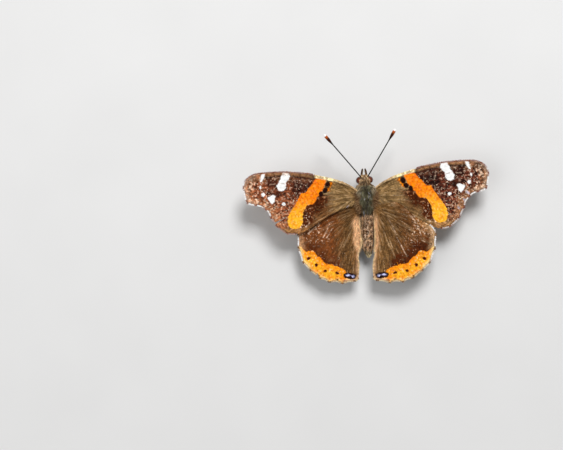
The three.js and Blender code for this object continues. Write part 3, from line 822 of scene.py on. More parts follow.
def paint_forewing_top(points, draw, sign):
    """Colours of the forewing's upper side. Draw holds three random numbers for each point
    and sign is -1 for the left wing, whose browns are painted redder, darker by the band and lighter far
    out: painted light and shade."""
    wing = FOREWING
    x, y = points.T
    # Painted light and shade: the left wing's browns differ, as the two wings caught the light differently
    redder = float(sign < 0)
    margin = path_distance(points, wing["margin"][::3])
    front = path_distance(points, wing["front_edge"][::3])
    inner_edge = path_distance(points, BAND_INNER)
    broad, fine, patchy, mottled, wobble = wing_fields(wing, points, draw)
    rays = 0.7 * broad + 0.5 * fine
    band_depth = depth_inside(points, np.vstack([BAND_OUTER, BAND_INNER])) + wobble
    outside = ramp(-0.9, 0.9, (x - 14.2) * 0.83 + (y - 1.2) * 0.55)
    tornus = ramp(-6.3, -7.2, y) * ramp(12, 15, x)

    # The olive inner part, darker along the band
    near_band = bell(inner_edge, 2.45) * ramp(2.6, 1.2, y) * ramp(-6.6, -4.6, y)
    near_band += (0.12 + 0.21 * redder) * bell(inner_edge, 3.6) * ramp(1.5, -1.0, y)
    lower = ramp(-1.0, -3.0, y) * bell(inner_edge, 1.6)
    colour = layered(
        OLIVE,
        (CHESTNUT, (0.25 + 0.4 * redder) * ramp(0.5, -2.5, y + 0.5 * patchy) * ramp(6, 11, x)),
        (OLIVE_PALE, 0.65 * ramp(0.1, 0.6, rays)),
        (OLIVE_DARK, 0.6 * ramp(0.1, 0.6, -rays)),
        (UMBER, np.clip(near_band * (1.7 + 0.3 * patchy + 0.3 * mottled), 0, 1)),
        (ROSY, 0.7 * flecks(points, 0.34, 27, 0.5) * ramp(0.2, 0.6, near_band)),
        # Painted glints: pale flecks near the band's inner edge, towards the rear
        (PALE_MARK_AND_GLINT, 0.85 * flecks(points, 0.3, 28, 0.5) * lower),
    )
    # Painted glints at the base, each on a darkened surround
    colour = with_ovals(colour, points, BASE_GLINTS, SOOT, wobble + 0.2, 0.5, 0.2)
    colour = with_ovals(colour, points, BASE_GLINTS, LILAC, wobble)

    # The dark far part, with painted glints: pale flecks along the margin and single bright scales, and a
    # painted sheen at the tip
    dusk = ramp(20.5, 17.0, x + 0.9 * patchy) * ramp(0.6, 3.0, y + 0.5 * patchy)
    for (centre_x, centre_y), stretch, edge, core, weight in DUSK_PATCHES:
        away = np.hypot((x - centre_x) / stretch, y - centre_y)
        dusk = np.maximum(dusk, weight * ramp(edge, core, away))
    # Painted sheen: pale scales along the margin at the tip, stronger on the left wing
    tip_sheen = ramp(1.5, 0.5, margin + 0.3 * mottled) * ramp(26, 30, x)
    pale = flecks(points, 0.34, 31, 0.3, 0.55) * (1 - 0.5 * redder * ramp(-4, -6, y)) * (1 - 0.8 * dusk)
    # Painted glints: scattered pale flecks, fewer in the dark patches
    far = layered(
        RUSSET,
        (ROSY, 0.75 * ramp(2.9, 0.7, margin + 0.7 * patchy)),
        (PALE_MARK_AND_GLINT, (0.3 + 0.42 * redder) * tip_sheen),
        (ROSY, 0.3 * redder * (1 - dusk)),
        (RUST, 0.17 * redder * (1 - dusk)),
        (SOOT, np.clip(0.22 - 0.12 * redder + (0.75 - 0.1 * redder) * dusk + 0.25 * patchy, 0, 1)),
        (SOOT, (0.9 - 0.2 * redder) * flecks(points, 0.4, 29, 0.0, 0.4) * ramp(0.6, 1.8, margin)),
        (tint(PALE_MARK_AND_GLINT, ROSY, 0.6 * ramp(1.0, -2.5, y)), pale * (0.28 + 0.4 * ramp(5.5, 1.0, margin))),
        (PALE_MARK_AND_GLINT, 0.7 * (draw[:, 1] < 0.03)),
    )

    # The front edge: a brown strip far out and a cream line nearer the root
    strip = ramp(1.15, 0.9, front + 0.05 * mottled) * ramp(12.6, 13.4, x) * ramp(27, 24, x)
    costa_width = 0.24 + 0.055 * np.clip(x - 2, 0, 9)
    costa = ramp(0.12, -0.05, front - costa_width) * ramp(13.0, 12.2, x)
    colour = layered(
        colour,
        (TAN, 0.55 * tornus),
        (far, outside * (1 - tornus)),
        (BROWN, 0.8 * strip),
        (ROSY, (0.6 - 0.3 * redder) * strip * ramp(0.2, 0.08, np.abs(front - 0.5))),
        (SOOT, 0.8 * ramp(0.25, 0.08, np.abs(front - 1.12)) * outside * (x < 25.5)),
        (OLIVE_DARK, 0.7 * ramp(0.25, 0.05, np.abs(front - costa_width - 0.15)) * (x < 9.5)),
        (FAWN, costa),
        (CREAM, costa * (0.28 + 0.72 * ramp(6.0, 8.4, x)) * (0.87 + 0.13 * mottled)),
    )

    # The orange band, with the dark spots of the cell at its inner edge
    glow = ramp(2.5, -4.5, y + 0.5 * patchy)
    orange = layered(
        ORANGE,
        (AMBER, glow),
        (RUST, flecks(points, 0.42, 33, 0.0, 0.6) * (0.6 - 0.3 * glow)),
        (STRAW, (0.1 + 0.3 * glow) * flecks(points, 0.36, 35, 0.2, 0.7)),
        (RUST, 0.5 * ramp(0.45, 0.1, band_depth) * ramp(15.5, 13.5, x)),
    )
    colour = layered(
        colour,
        (orange, within(band_depth)),
        (CREAM, 0.85 * ramp(0.1, 0.35, band_depth + 0.3) * ramp(0.85, 0.5, front) * (x < 13)),
    )
    colour = with_ovals(colour, points, CELL_RIMS, ORANGE * 0.85, 0.6 * wobble)
    colour = with_ovals(colour, points, CELL_SPOTS, SPOT, 0.6 * wobble)

    # The white bars and spots
    colour = tint(colour, RUSSET, 0.3 * relief(wing, points) / VEIN_RISE * outside * (band_depth < 0))
    for corners in (BAR, BIG_SPOT, APEX_BAR):
        colour = tint(colour, WHITE, within(depth_inside(points, corners) + 0.6 * wobble))
    in_bar = depth_inside(points, BAR) > -0.05
    crossing_vein = ramp(0.14, 0.05, np.abs(y - 5.2 - 0.2 * (x - 20.9)))
    colour = layered(
        colour,
        (ROSY, in_bar * np.maximum(0.4 * crossing_vein, 0.5 * redder * ramp(6.9, 7.5, y))),
        (ROSY, 0.35 * ramp(0.4, 0.15, front) * ramp(14, 16, x)),
    )
    colour = with_ovals(colour, points, SMALL_SPOTS, WHITE, 0.5 * wobble)
    colour = with_ovals(colour, points, FAINT_SPOTS, PALE_MARK_AND_GLINT if redder else LILAC, wobble, 0.55, 0.1)
    return with_grain(colour, band_depth, 0.2, mottled, draw)


# Markings of the hindwing, on the flat right wing
BORDER_INNER = [
    (16.0, -12.6), (15.2, -13.0), (14.6, -13.6), (14.0, -14.0), (13.5, -13.6), (12.7, -13.45),
    (12.1, -13.55), (11.6, -14.3), (11.0, -14.85), (10.4, -15.0), (9.85, -15.5), (9.4, -16.2),
    (8.6, -16.5), (7.9, -16.5), (7.3, -16.3), (6.7, -16.8), (5.6, -16.95), (4.7, -17.3),
    (3.95, -17.7), (3.6, -18.2),
]
BORDER_END = [(3.9, -19.3), (2.6, -19.7), (1.6, -19.95)]
# The stretch of the margin, from the rear forwards, that closes the border
BORDER_MARGIN = slice(6, -14)
DOTS = [
    ((13.3, -15.5), (0.5, 0.4), -30), ((11.2, -16.95), (0.42, 0.4), -40),
    ((8.85, -18.25), (0.44, 0.36), -10), ((5.9, -18.5), (0.58, 0.34), 15),
]
RIM_MARKS = [
    ((10.35, -19.65), (0.3, 0.18), -35), ((5.8, -20.1), (0.35, 0.16), 0),
    ((3.6, -20.2), (0.9, 0.16), -10), ((14.6, -16.6), (0.3, 0.16), -60),
]
BLACK_PATCH = ((2.65, -18.95), (1.75, 0.78), 4)
BLUE_SPOTS = [((1.88, -18.98), (0.46, 0.26), 20), ((3.1, -18.84), (0.62, 0.24), -6)]
# Painted glints: pale strokes along the veins, on the left wing, -1, and on the right one
GLINT_STROKES = {
    -1: [[(8.7, -6.0), (10.1, -10.0)], [(8.1, -7.6), (9.3, -10.0)], [(11.6, -6.6), (14.0, -9.4)]],
    1: [
        [(10.8, -4.7), (12.1, -6.8), (12.9, -9.6)], [(5.2, -5.0), (6.7, -8.6)],
        [(6.9, -9.8), (9.1, -14.8)],
    ],
}
UNDER_PATCH = ((11.2, -6.6), (1.7, 1.0), -30)


def paint_hindwing_top(points, draw, sign):
    """Colours of the hindwing's upper side. Draw holds three random numbers for each point
    and sign is -1 for the left wing, which shows more of its inner fold and whose browns are painted redder
    and darker: painted light and shade."""
    wing = HINDWING
    x, y = points.T
    # Painted light and shade: the left wing's browns differ, as the two wings caught the light differently;
    # its wider pale fold is the fold itself
    redder = float(sign < 0)
    margin = path_distance(points, wing["margin"][::3])
    rear = path_distance(points, wing["rear"][::4])
    front = path_distance(points, wing["front"][::4])
    inner_edge = path_distance(points, BORDER_INNER)
    broad, fine, patchy, mottled, wobble = wing_fields(wing, points, draw)
    rays = 0.7 * broad + 0.5 * fine
    border = np.vstack([BORDER_INNER, BORDER_END, wing["margin"][::-3][BORDER_MARGIN]])
    border_depth = depth_inside(points, border) + wobble

    # The brown ground, darkest along the border
    outer = ramp(5.5 - redder, 9.5 - redder, x + 0.6 * patchy)
    dark = 0.85 * bell(inner_edge, 2.0) * ramp(3.2, 6.0, x) + 0.45 * bell(inner_edge, 5.0) * ramp(4, 7, x)
    # Painted shade: a darker patch in the middle of the right hindwing
    shade = ramp(3.6, 1.6, np.hypot((x - 8.6) / 1.1, (y + 7.2) / 1.5) + 0.4 * patchy)
    warm = ramp(2.6, 0.6, front + 0.5 * patchy) * ramp(10.5, 13.5, x)
    rim = ramp(2.2, 0.4, margin + 0.5 * patchy) * ramp(-14.0, -12.5, y)
    # Painted glints: where scattered pale flecks go in the outer brown
    pale = flecks(points, 0.27, 41, 0.55, 0.75) * ramp(8 - 1.5 * redder, 11, x) * ramp(-13, -10, y)
    colour = layered(
        SEPIA,
        (OLIVE_DARK, 0.42 * redder),
        (CHESTNUT, (0.6 + 0.25 * redder) * outer + 0.1 * redder),
        (OLIVE_PALE, (0.5 - 0.22 * redder - 0.18 * outer) * ramp(0.1, 0.6, rays)),
        (OLIVE_DARK, (0.6 + 0.15 * redder * (1 - 2.5 * outer)) * ramp(0.05, 0.6, -rays)),
        (UMBER, np.clip(dark * (1.1 - 0.5 * redder + 0.35 * patchy + 0.3 * mottled), 0, 1)),
        # Painted shade, on the right wing only
        (OLIVE_DARK, 0.4 * (1 - redder) * shade),
        (TAN, (0.58 - 0.13 * redder) * warm),
        (FAWN, 0.78 * rim),
        (RUST, 0.12 * redder * rim),
        # Painted glints: pale flecks and single bright scales
        (PALE_MARK_AND_GLINT, 0.65 * pale + 0.25 * (draw[:, 1] < 0.02)),
    )
    # Painted glints along the veins
    for stroke in GLINT_STROKES[sign]:
        near = ramp(0.16, 0.08, path_distance(points, stroke))
        colour = tint(colour, PALE_MARK_AND_GLINT, 0.6 * near * (0.4 + 0.6 * flecks(points, 0.35, 49, 0.0, 0.3)))

    # The orange border with its dots, and the blue spots in black by the rear corner
    glow = ramp(0.1, 1.9, border_depth + 0.5 * patchy)
    orange = layered(
        ORANGE,
        (AMBER, 0.2 + 0.7 * glow),
        (STRAW, 0.8 * ramp(1.1, 0.3, margin + 0.3 * patchy) + 0.5 * ramp(14.3, 15.3, x)),
        (RUST, 0.45 * flecks(points, 0.45, 45, 0.1, 0.7)),
        (CREAM, 0.4 * flecks(points, 0.34, 47, 0.4, 0.8)),
    )
    colour = tint(colour, orange, within(border_depth))
    colour = with_ovals(colour, points, DOTS + RIM_MARKS, CLARET * 0.7, 0.7 * wobble)
    colour = tint(colour, PEACH, 0.7 * ramp(1.3, 0.6, margin) * ramp(4.5, 3.0, x))
    colour = with_ovals(colour, points, [BLACK_PATCH], SPOT, wobble)
    colour = with_ovals(colour, points, BLUE_SPOTS, BLUE, 0.5 * wobble)
    colour = with_ovals(colour, points, BLUE_SPOTS, LILAC, 0.5 * wobble - 0.09, 0.8, 0.05)

    # The pale fold along the abdomen
    fold = 0.4 + (0.35 + 0.75 * redder) * ramp(-13.0, -10.5, y)
    strip = ramp(fold + 0.55, fold - 0.15, rear + 0.2 * patchy + 0.15 * mottled)
    strip *= ramp(-18.5, -17.5, y) * ramp(-3.6, -6, y)
    colour = layered(
        colour,
        (TAN, 0.2 * ramp(2.2, 1.2, rear) * ramp(-17, -15, y)),
        (PEACH, strip * (0.75 + 0.25 * fine)),
        (TAN, 0.7 * strip * ramp(0.3, 0.8, -broad - fine)),
        (CREAM, 0.6 * strip * ramp(0.4, 0.15, rear)),
    )
    return with_grain(colour, border_depth, 0.16, mottled, draw)


def marbling(points, seed):
    """Irregular bands and flecks, from -1 to 1, as on the resting side of the wings."""
    bent = points + 0.8 * columns(noise(points, 2.4, seed), noise(points, 2.4, seed + 1))
    return 0.6 * noise(bent, 1.7, seed + 2) + 0.4 * noise(bent, 0.6, seed + 3)


def paint_forewing_under(points, draw, sign):
    """The forewing's underside: as the upper side but paler, with a marbled tip."""
    x, y = points.T
    colour = paint_forewing_top(points, draw, sign)
    margin = path_distance(points, FOREWING["margin"][::3])
    marbled = marbling(points, 51)
    tip = ramp(21, 25.5, x + 0.9 * marbled) * (1 - ramp(0.5, 0.7, colour.min(1)))
    return layered(
        colour,
        (FAWN, 0.8 * tip * ramp(-0.5, 0.6, marbled)),
        (BLUE * 0.8, 0.5 * ramp(0.5, 0.2, np.abs(x - 17.6 - 0.35 * y)) * (y > 2.5)),
        (BLUE * 0.6, 0.5 * ramp(0.35, 0.1, np.abs(x - 8.0 - 0.3 * y)) * (y > 2.2)),
        (FAWN, 0.35 * ramp(0.9, 0.3, margin)),
    )


def paint_hindwing_under(points, draw, _sign):
    """The hindwing's underside: dark and marbled, with faint rings along the margin."""
    margin = path_distance(points, HINDWING["margin"][::3])
    marbled = marbling(points, 61)
    colour = layered(
        UNDER_BROWN,
        (SOOT, ramp(0.0, 0.5, marbled)),
        (FAWN, 0.7 * ramp(0.2, 0.7, -marbled)),
        (UNDER_GREEN, 0.5 * ramp(0.35, 0.1, np.abs(margin - 1.5 - 0.3 * marbled))),
    )
    for centre, _, _ in DOTS:
        ring = np.abs(np.hypot(*(points - np.array(centre) * 0.97).T) - 0.5)
        colour = tint(colour, SPOT, 0.8 * ramp(0.22, 0.08, ring))
    patch = oval_depth(points, *UNDER_PATCH)
    colour = tint(colour, CREAM, 0.7 * ramp(-0.1, 0.4, patch + 0.3 * marbled))
    return colour * (0.8 + 0.4 * draw[:, 2:])


PAINTS = {
    "forewing": (paint_forewing_top, paint_forewing_under),
    "hindwing": (paint_hindwing_top, paint_hindwing_under),
}


# Wings
def wing_mesh(name, outline):
    """Plan points of a wing's membrane and the triangles between them, with any tear left out."""
    inner = lattice(outline, SKIN_STEP, jitter=0.12, rng=np.random.default_rng(3))
    inner = inner[depth_inside(inner, outline) > 0.4 * SKIN_STEP]
    loops = [outline]
    if name in TEARS:
        loops.append(np.array(TEARS[name]))
        inner = inner[~in_tear(name, inner, 0.3 * SKIN_STEP)]
    points, edges = [], []
    for loop in loops:
        start, count = len(points), len(loop)
        points += loop.tolist()
        edges += [(start + i, start + (i + 1) % count) for i in range(count)]
    points += inner.tolist()
    verts, _, triangles, *_ = geometry.delaunay_2d_cdt([Vector(p) for p in points], edges, [], 1, 1e-5)
    plan = np.array([tuple(v) for v in verts])
    faces = np.array(triangles)
    middles = plan[faces].mean(1)
    faces = faces[(depth_inside(middles, outline) > 0) & ~in_tear(name, middles)]
    used, faces = np.unique(faces, return_inverse=True)
    plan, faces = plan[used], faces.reshape(-1, 3)
    a, b, c = (plan[faces[:, i]] for i in range(3))
    area = (b[:, 0] - a[:, 0]) * (c[:, 1] - a[:, 1]) - (b[:, 1] - a[:, 1]) * (c[:, 0] - a[:, 0])
    faces[area < 0] = faces[area < 0][:, ::-1]
    return plan, faces


def wing_skin(name, kind, sign):
    """The wing's own closed skin, two faces with the veins' ridges and a wall round the rim."""
    wing = WINGS[kind]
    plan, faces = wing_mesh(name, wing["outline"])
    count = len(plan)
    directed = np.vstack([faces[:, [0, 1]], faces[:, [1, 2]], faces[:, [2, 0]]])
    known = {(int(i), int(j)) for i, j in directed}
    rim = np.array([(i, j) for i, j in known if (j, i) not in known])
    rim = rim[np.lexsort(rim.T)]
    here, there = rim.T
    walls = np.vstack([columns(here, here + count, there + count), columns(here, there + count, there)])
    all_faces = np.vstack([faces, faces[:, ::-1] + count, walls])
    if sign < 0:
        all_faces = all_faces[:, ::-1]
    height = SKIN_HALF + relief(wing, plan)
    flat = np.vstack([raised(plan, height), raised(plan, -height)])
    even = np.full((count, 3), 0.5)
    colours = np.vstack([paint(plan, even, sign) for paint in PAINTS[kind]]) * 0.8
    piece = make_piece(f"skin_{name}", posed(name, sign, flat), all_faces, MEMBRANE_FINISH, kind, colours)
    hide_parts(name)


def wing_coat(piece, name, kind, sign, copy_kind, grown, colours, shades):
    """One coat of a wing: copies that are grown on it flat and held as the wing is held."""
    wing = WINGS[kind]
    low, high = wing["outline"].min(0), wing["outline"].max(0)
    bake = bake_square((grown[0][:, :2] - low) / (high - low).max())
    coat_piece(
        piece, copy_kind, grown, colours, shades, bake, kind,
        held=lambda flat: posed(name, sign, flat), flip=sign < 0,
    )


def wing_scales(name, kind, sign, face):
    """Rows of overlapping scales over one face of a wing: 1 is the upper face, -1 the lower."""
    wing = WINGS[kind]
    spacing, length, width = UPPER_SCALES if face > 0 else LOWER_SCALES
    rng = coat_rng(100, kind, sign, face)
    roots = lattice(wing["outline"], spacing, jitter=0.28, rng=rng)
    roots = roots[roots[:, 0] > SCALES_FROM_X]
    lie = flow(wing, roots)
    ends = roots + lie * length
    kept = (path_distance(ends, wing["skin_margin"]) > 0.12) & (depth_inside(ends, wing["outline"]) > -0.1)
    kept &= ~in_tear(name, roots, 0.08) & ~in_tear(name, ends, 0.04)
    roots, (lie_x, lie_y) = roots[kept], lie[kept].T
    count = len(roots)
    draw = rng.random((count, 3))
    turn = rng.normal(0, 0.12, count)
    lie = columns(lie_x * np.cos(turn) - lie_y * np.sin(turn), lie_x * np.sin(turn) + lie_y * np.cos(turn))
    sizes = spans(rng, count, (0.85, 1.15), (0.85, 1.1), (0.5, 1.3)) * (length, width, SCALE_LIFT)
    base, tip = (SKIN_HALF + relief(wing, points) for points in (roots, roots + lie * length))
    grown = raised(roots, base * face), raised(lie, (tip - base) / length * face), UP * face, sizes
    colours = PAINTS[kind][0 if face > 0 else 1](roots + 0.5 * length * lie, draw, sign)
    layer = "upper" if face > 0 else "lower"
    wing_coat(f"scales_{name}_{layer}", name, kind, sign, SCALES, grown, colours, (0.9, 1.06))


def fringe_colours(kind, sign, roots, share_of_bay, rng):
    """White scales in the bays of the margin and dark ones at the ends of the veins. The
    forewing's front edge has brown ones and the hindwing's rear edge cream ones."""
    count = len(roots)
    y = roots[:, 1]
    white = ramp(0.3, 0.6, np.sin(np.pi * share_of_bay) + 0.2 * rng.normal(0, 1, count))
    if kind == "forewing":
        dark, pale = RUSSET, WHITE
        torn_side = 0.75 if sign < 0 else 0.35
        white *= (1 - 0.85 * ramp(5.2, 6.8, y)) * (1 - torn_side * ramp(-2, -5, y))
    else:
        rear_edge = ramp(-15, -18.5, y)
        dark, pale = BROWN, tint(WHITE, CREAM * 0.85, 0.85 * rear_edge)
        white *= 1 - 0.25 * rear_edge
    return layered(dark, (pale, 0.95 * white), (ROSY, 0.8 * (rng.random(count) < 0.15)))


def wing_fringe(name, kind, sign):
    """Narrow scales that stand out past the wing's margin."""
    wing = WINGS[kind]
    rng = coat_rng(200, kind, sign)
    margin = wing["skin_margin"]
    count = int(np.hypot(*np.diff(margin, axis=0).T).sum() / FRINGE_STEP)
    place = (np.arange(count) + rng.uniform(0, 1, count)) / count * (len(margin) - 1.01)
    low = place.astype(int)
    share = (place - low)[:, None]
    roots = margin[low] * (1 - share) + margin[low + 1] * share
    side_x, side_y = (margin[low + 1] - margin[low]).T
    lie = unit(unit(columns(-side_y, side_x)) + 0.5 * flow(wing, roots) + rng.normal(0, 0.12, (count, 2)))
    roots = roots - 0.12 * lie
    kept = ~in_tear(name, roots, 0.05) & ~in_tear(name, roots + FRINGE * lie, 0.02)
    roots, lie, place = roots[kept], lie[kept], place[kept]
    count = len(roots)
    sizes = spans(rng, count, (0.75, 1.15), (0.08, 0.13), (0.01, 0.05)) * (FRINGE * 1.45, 1, 1)
    start = raised(roots, rng.uniform(-0.05, 0.05, count))
    colours = fringe_colours(kind, sign, roots, place % BAY_POINTS / BAY_POINTS, rng)
    grown = start, raised(lie, 0), UP, sizes
    wing_coat(f"fringe_{name}", name, kind, sign, SCALES, grown, colours, (0.8, 1))


def hair_roots(kind, rng):
    """Where long hair grows on a wing's upper face, thickest near the body."""
    wing = WINGS[kind]
    roots = lattice(wing["outline"], WING_HAIR_STEP, jitter=0.45, rng=rng)
    reach = np.hypot(*(roots - wing["hinge"]).T)
    if kind == "forewing":
        want = ramp(8.5, 3, reach) * 0.8
        want = np.maximum(want, 0.5 * ramp(11.5, 8, reach) * ramp(0.5, -1.5, roots[:, 1]))
    else:
        want = ramp(12, 5, reach) * 0.6 + 0.4 * ramp(7.5, 3.0, roots[:, 0]) * ramp(17, 12, reach)
    return roots[rng.random(len(roots)) < want]


def wing_hair(name, kind, sign):
    """Long fine hair that lies along the base and the inner part of a wing."""
    wing = WINGS[kind]
    rng = coat_rng(300, kind, sign)
    roots = hair_roots(kind, rng)
    count = len(roots)
    lie = flow(wing, roots) + rng.normal(0, 0.06, (count, 2))
    to_rear, to_front = (path_distance(roots, wing[edge]) for edge in ("rear", "front"))
    if kind == "forewing":
        trailing = ramp(1.3, 0.3, to_rear) * ramp(9.5, 7.5, roots[:, 0])
        lie += columns(0.1 * trailing, -0.9 * trailing)
    else:
        inner = ramp(1.1, 0.3, to_rear) * ramp(-17, -15, roots[:, 1])
        leading = ramp(1.1, 0.3, to_front) * ramp(6.0, 4.5, roots[:, 0])
        lie += columns(-0.35 * inner, 0.8 * leading)
    lie = unit(lie)
    sizes = spans(rng, count, (0.7, 1.6), (0.03, 0.055), (0.05, 0.12))
    start = raised(roots, SKIN_HALF + relief(wing, roots) + 0.02)
    grown = start, raised(lie, 0), UP, sizes
    ground = PAINTS[kind][0](roots + 0.7 * sizes[:, :1] * lie, np.full((count, 3), 0.5), sign)
    light = rng.random(count)
    pale, dark = 0.5 * ramp(0.75, 1.0, light), 0.65 * ramp(0.35, 0.05, light)
    colours = layered(ground, (HAIR_PALE, pale), (OLIVE_DARK * 0.7, dark))
    wing_coat(f"hair_{name}", name, kind, sign, LOCKS, grown, colours, (0.85, 1.1))


# Body
TRUNK[:, 3] = BODY_Z - TRUNK[:, 3]
TRUNK_CURVE = spline(TRUNK, 500)


def trunk_row(y):
    """Half width, half height, middle's height, coat depth and middle's X at places along the body."""
    return [np.interp(-y, -TRUNK_CURVE[:, 0], TRUNK_CURVE[:, column]) for column in (1, 2, 3, 4, 5)]


def abdomen_ring(y):
    """How many rings of the abdomen lie ahead of places along it, and the share of the next."""
    rings = (WAIST_Y - y) / (WAIST_Y - ABDOMEN_END) * ABDOMEN_RINGS
    return rings, rings - np.floor(rings)


def ring_swell(y):
    """How the abdomen narrows behind each of its rings."""
    rings, share = abdomen_ring(y)
    step = ramp(0, 0.2, share) * ramp(1.02, 0.86, share)
    return np.where(rings > 0.3, -0.06 * (1 - step), 0)


def body_surface(y, angle):
    """Points of the body's skin: angle 0 is the right side, a quarter turn is the back."""
    half_width, half_height, middle, coat, across = trunk_row(y)
    shoulder = 0.2 * bell(y - 2.0, 0.8) * bell(np.abs(np.cos(angle)) - 0.75, 0.22) * (np.sin(angle) > 0)
    reach = ring_swell(y) * np.clip(half_width, 0, 1) - coat + shoulder
    x = across + (half_width + reach) * np.cos(angle)
    return columns(x, y, middle + (half_height + reach) * np.sin(angle))


def body_frame(y, angle):
    """Skin points with the directions rearwards, round the body and outwards."""
    here = body_surface(y, angle)
    rear = unit(body_surface(y - 0.05, angle) - here)
    round_body = unit(body_surface(y, angle + 0.02) - here)
    return here, rear, round_body, unit(np.cross(round_body, rear))


def body_place(points):
    """Where points near the body lie on it: places along it and angles round it."""
    half_width, half_height, middle, _, across = trunk_row(points[:, 1])
    turn = np.arctan2((points[:, 2] - middle) / half_height, (points[:, 0] - across) / half_width)
    return points[:, 1], turn % (2 * np.pi)


def body_colour(y, angle):
    """The ground colour of skin and coat together, all over the body, with painted glints on the thorax's
    top.
    """
    up, across = np.sin(angle), np.cos(angle)
    side = np.abs(across)
    spread = columns(y, angle * 2.2)
    patchy = noise(spread, 0.55, 71)
    grainy = mottle(spread, 0.34, 73)
    shoulder = ramp(0.4, 0.65, side) * ramp(0.4, 1.8, y + 0.4 * patchy)
    thorax = layered(
        GREY_GREEN,
        (SOOT, 0.55 * ramp(-0.05, 0.5, patchy)),
        (BROWN, ramp(0.5, 0.8, side + 0.15 * patchy)),
        (PALE_GREY, (0.6 + 0.3 * grainy) * shoulder * (up > 0)),
        (PALE_GREY, 0.45 * ramp(2.5, 3.2, y + 0.3 * patchy) * (up > 0)),
        (FAWN, ramp(0.1, -0.5, up)),
        (RUST * 0.7, 0.7 * bell(y - 0.8, 0.45) * ramp(0.85, 0.95, side)),
        (SOOT, 0.45 * ramp(-2.4, -2.8, y)),
        # Painted glints: pale lilac flecks on the top of the thorax
        (LILAC, 0.5 * flecks(spread, 0.33, 75, 0.6, 0.8) * ramp(0.7, 0.9, up)),
    )
    stripes = np.cos(across * 9.5) + 0.4 * grainy
    nape = ramp(0.55, 0.25, np.hypot(y - 3.9, (side - 0.33) * 2)) * (up > 0)
    head = layered(
        HEAD_BROWN,
        (HEAD_DARK, 0.5 * ramp(0.0, 0.6, patchy)),
        (HEAD_DARK, 0.35 * ramp(0.1, 0.8, stripes) * ramp(4.0, 4.6, y)),
        (HEAD_PALE, 0.4 * ramp(0.1, 0.8, -stripes) + 0.45 * (up < -0.2)),
        (HEAD_PALE, 0.85 * flecks(spread, 0.4, 77, 0.2, 0.5)),
        (HEAD_DARK, 0.75 * flecks(spread, 0.4, 79, 0.2, 0.55)),
        (SOOT, 0.5 * nape),
    )
    _, share = abdomen_ring(y)
    abdomen = layered(
        ABDOMEN_BROWN,
        (UMBER, 0.4 * ramp(0.3, 0.05, share) + 0.5 * ramp(0.0, 0.5, patchy)),
        (PEACH, 0.34 * ramp(0.0, 0.6, -patchy) + 0.25 * (share > 0.8)),
        (PALE_MARK_AND_GLINT, 0.4 * flecks(spread, 0.36, 83, 0.35, 0.65)),
        (ROSY, 0.4 * flecks(spread, 0.4, 85, 0.3, 0.7)),
        (FAWN, 0.4 * ramp(0.6, 0.95, side)),
        (GREY_GREEN, 0.5 * ramp(-12.2, -13.0, y)),
        (CREAM, 0.8 * ramp(-13.7, -14.0, y)),
    )
    on_head, on_abdomen = ramp(NECK_Y - 0.3, NECK_Y + 0.1, y), ramp(WAIST_Y + 0.3, WAIST_Y - 0.1, y)
    return layered(thorax, (head, on_head), (abdomen, on_abdomen)) * (1 + 0.4 * grainy)[:, None]


def body_skin():
    """One skin from the brow to the tail, under the coat."""
    y = np.linspace(TRUNK[0][0], TRUNK[-1][0], BODY_RINGS)
    angle = np.linspace(0, 2 * np.pi, BODY_SIDES, endpoint=False)
    grid_y, grid_angle = np.repeat(y, BODY_SIDES), np.tile(angle, BODY_RINGS)
    points, faces = loft(body_surface(grid_y, grid_angle).reshape(BODY_RINGS, BODY_SIDES, 3))
    colours = np.vstack([body_colour(grid_y, grid_angle) * 0.7, FAWN, CREAM * 0.7])
    piece = make_piece("skin_body", points, faces, CUTICLE_FINISH, "fur", colours)
    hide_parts("head", "thorax", "abdomen")


def spread_over_body(front, back, count, rng):
    """Roots spread evenly over a length of the body: places along it and angles round it."""
    y = np.linspace(front, back, 200)
    width, height, *_ = trunk_row(y)
    share = np.cumsum(width + height)
    share = (share - share[0]) / (share[-1] - share[0])
    order = (np.arange(count) + 0.5) / count
    golden_turn = np.pi * (3 - math.sqrt(5))
    angle = (np.arange(count) * golden_turn + rng.uniform(-0.05, 0.05, count)) % (2 * np.pi)
    return np.interp(order, share, y) + rng.uniform(-0.04, 0.04, count), angle


def body_bake(y, angle):
    """Where places on the body lie on an unwrap of its skin."""
    length = TRUNK[0][0] - ABDOMEN_END
    return bake_square(columns(angle % (2 * np.pi) / (2 * np.pi), (y - ABDOMEN_END) / length))


def in_eye(points, room):
    """Whether points lie in or close to an eye."""
    away = np.abs(points) * (1, 0, 0) + points * (0, 1, 1) - EYE_CENTRE
    return (away**2 / (EYE_RADII + room) ** 2).sum(1) < 1


# Fur: where it begins and ends along the body, how many locks there are, a lock's length,
# width and rise, the seed, the slot and how far the locks sway in clumps
FUR = {
    "fur_thorax": (3.7, -3.3, 6500, (1.15, 0.1, 0.36), 41, "fur", 0.25),
    "fur_thorax_long": (3.5, -2.6, 1200, (1.9, 0.07, 0.45), 42, "fur", 0.4),
    "fur_head": (6.3, 3.7, 4200, (0.62, 0.075, 0.24), 43, "fur", 0.25),
    "fur_collar": (4.7, 2.9, 900, (0.8, 0.09, 0.5), 46, "fur", 0.5),
    "fur_abdomen": (-3.0, -6.5, 1500, (1.0, 0.06, 0.2), 44, "abdomen", 0.25),
    "fur_tail": (-11.4, -14.0, 700, (0.6, 0.07, 0.2), 47, "abdomen", 0.25),
}


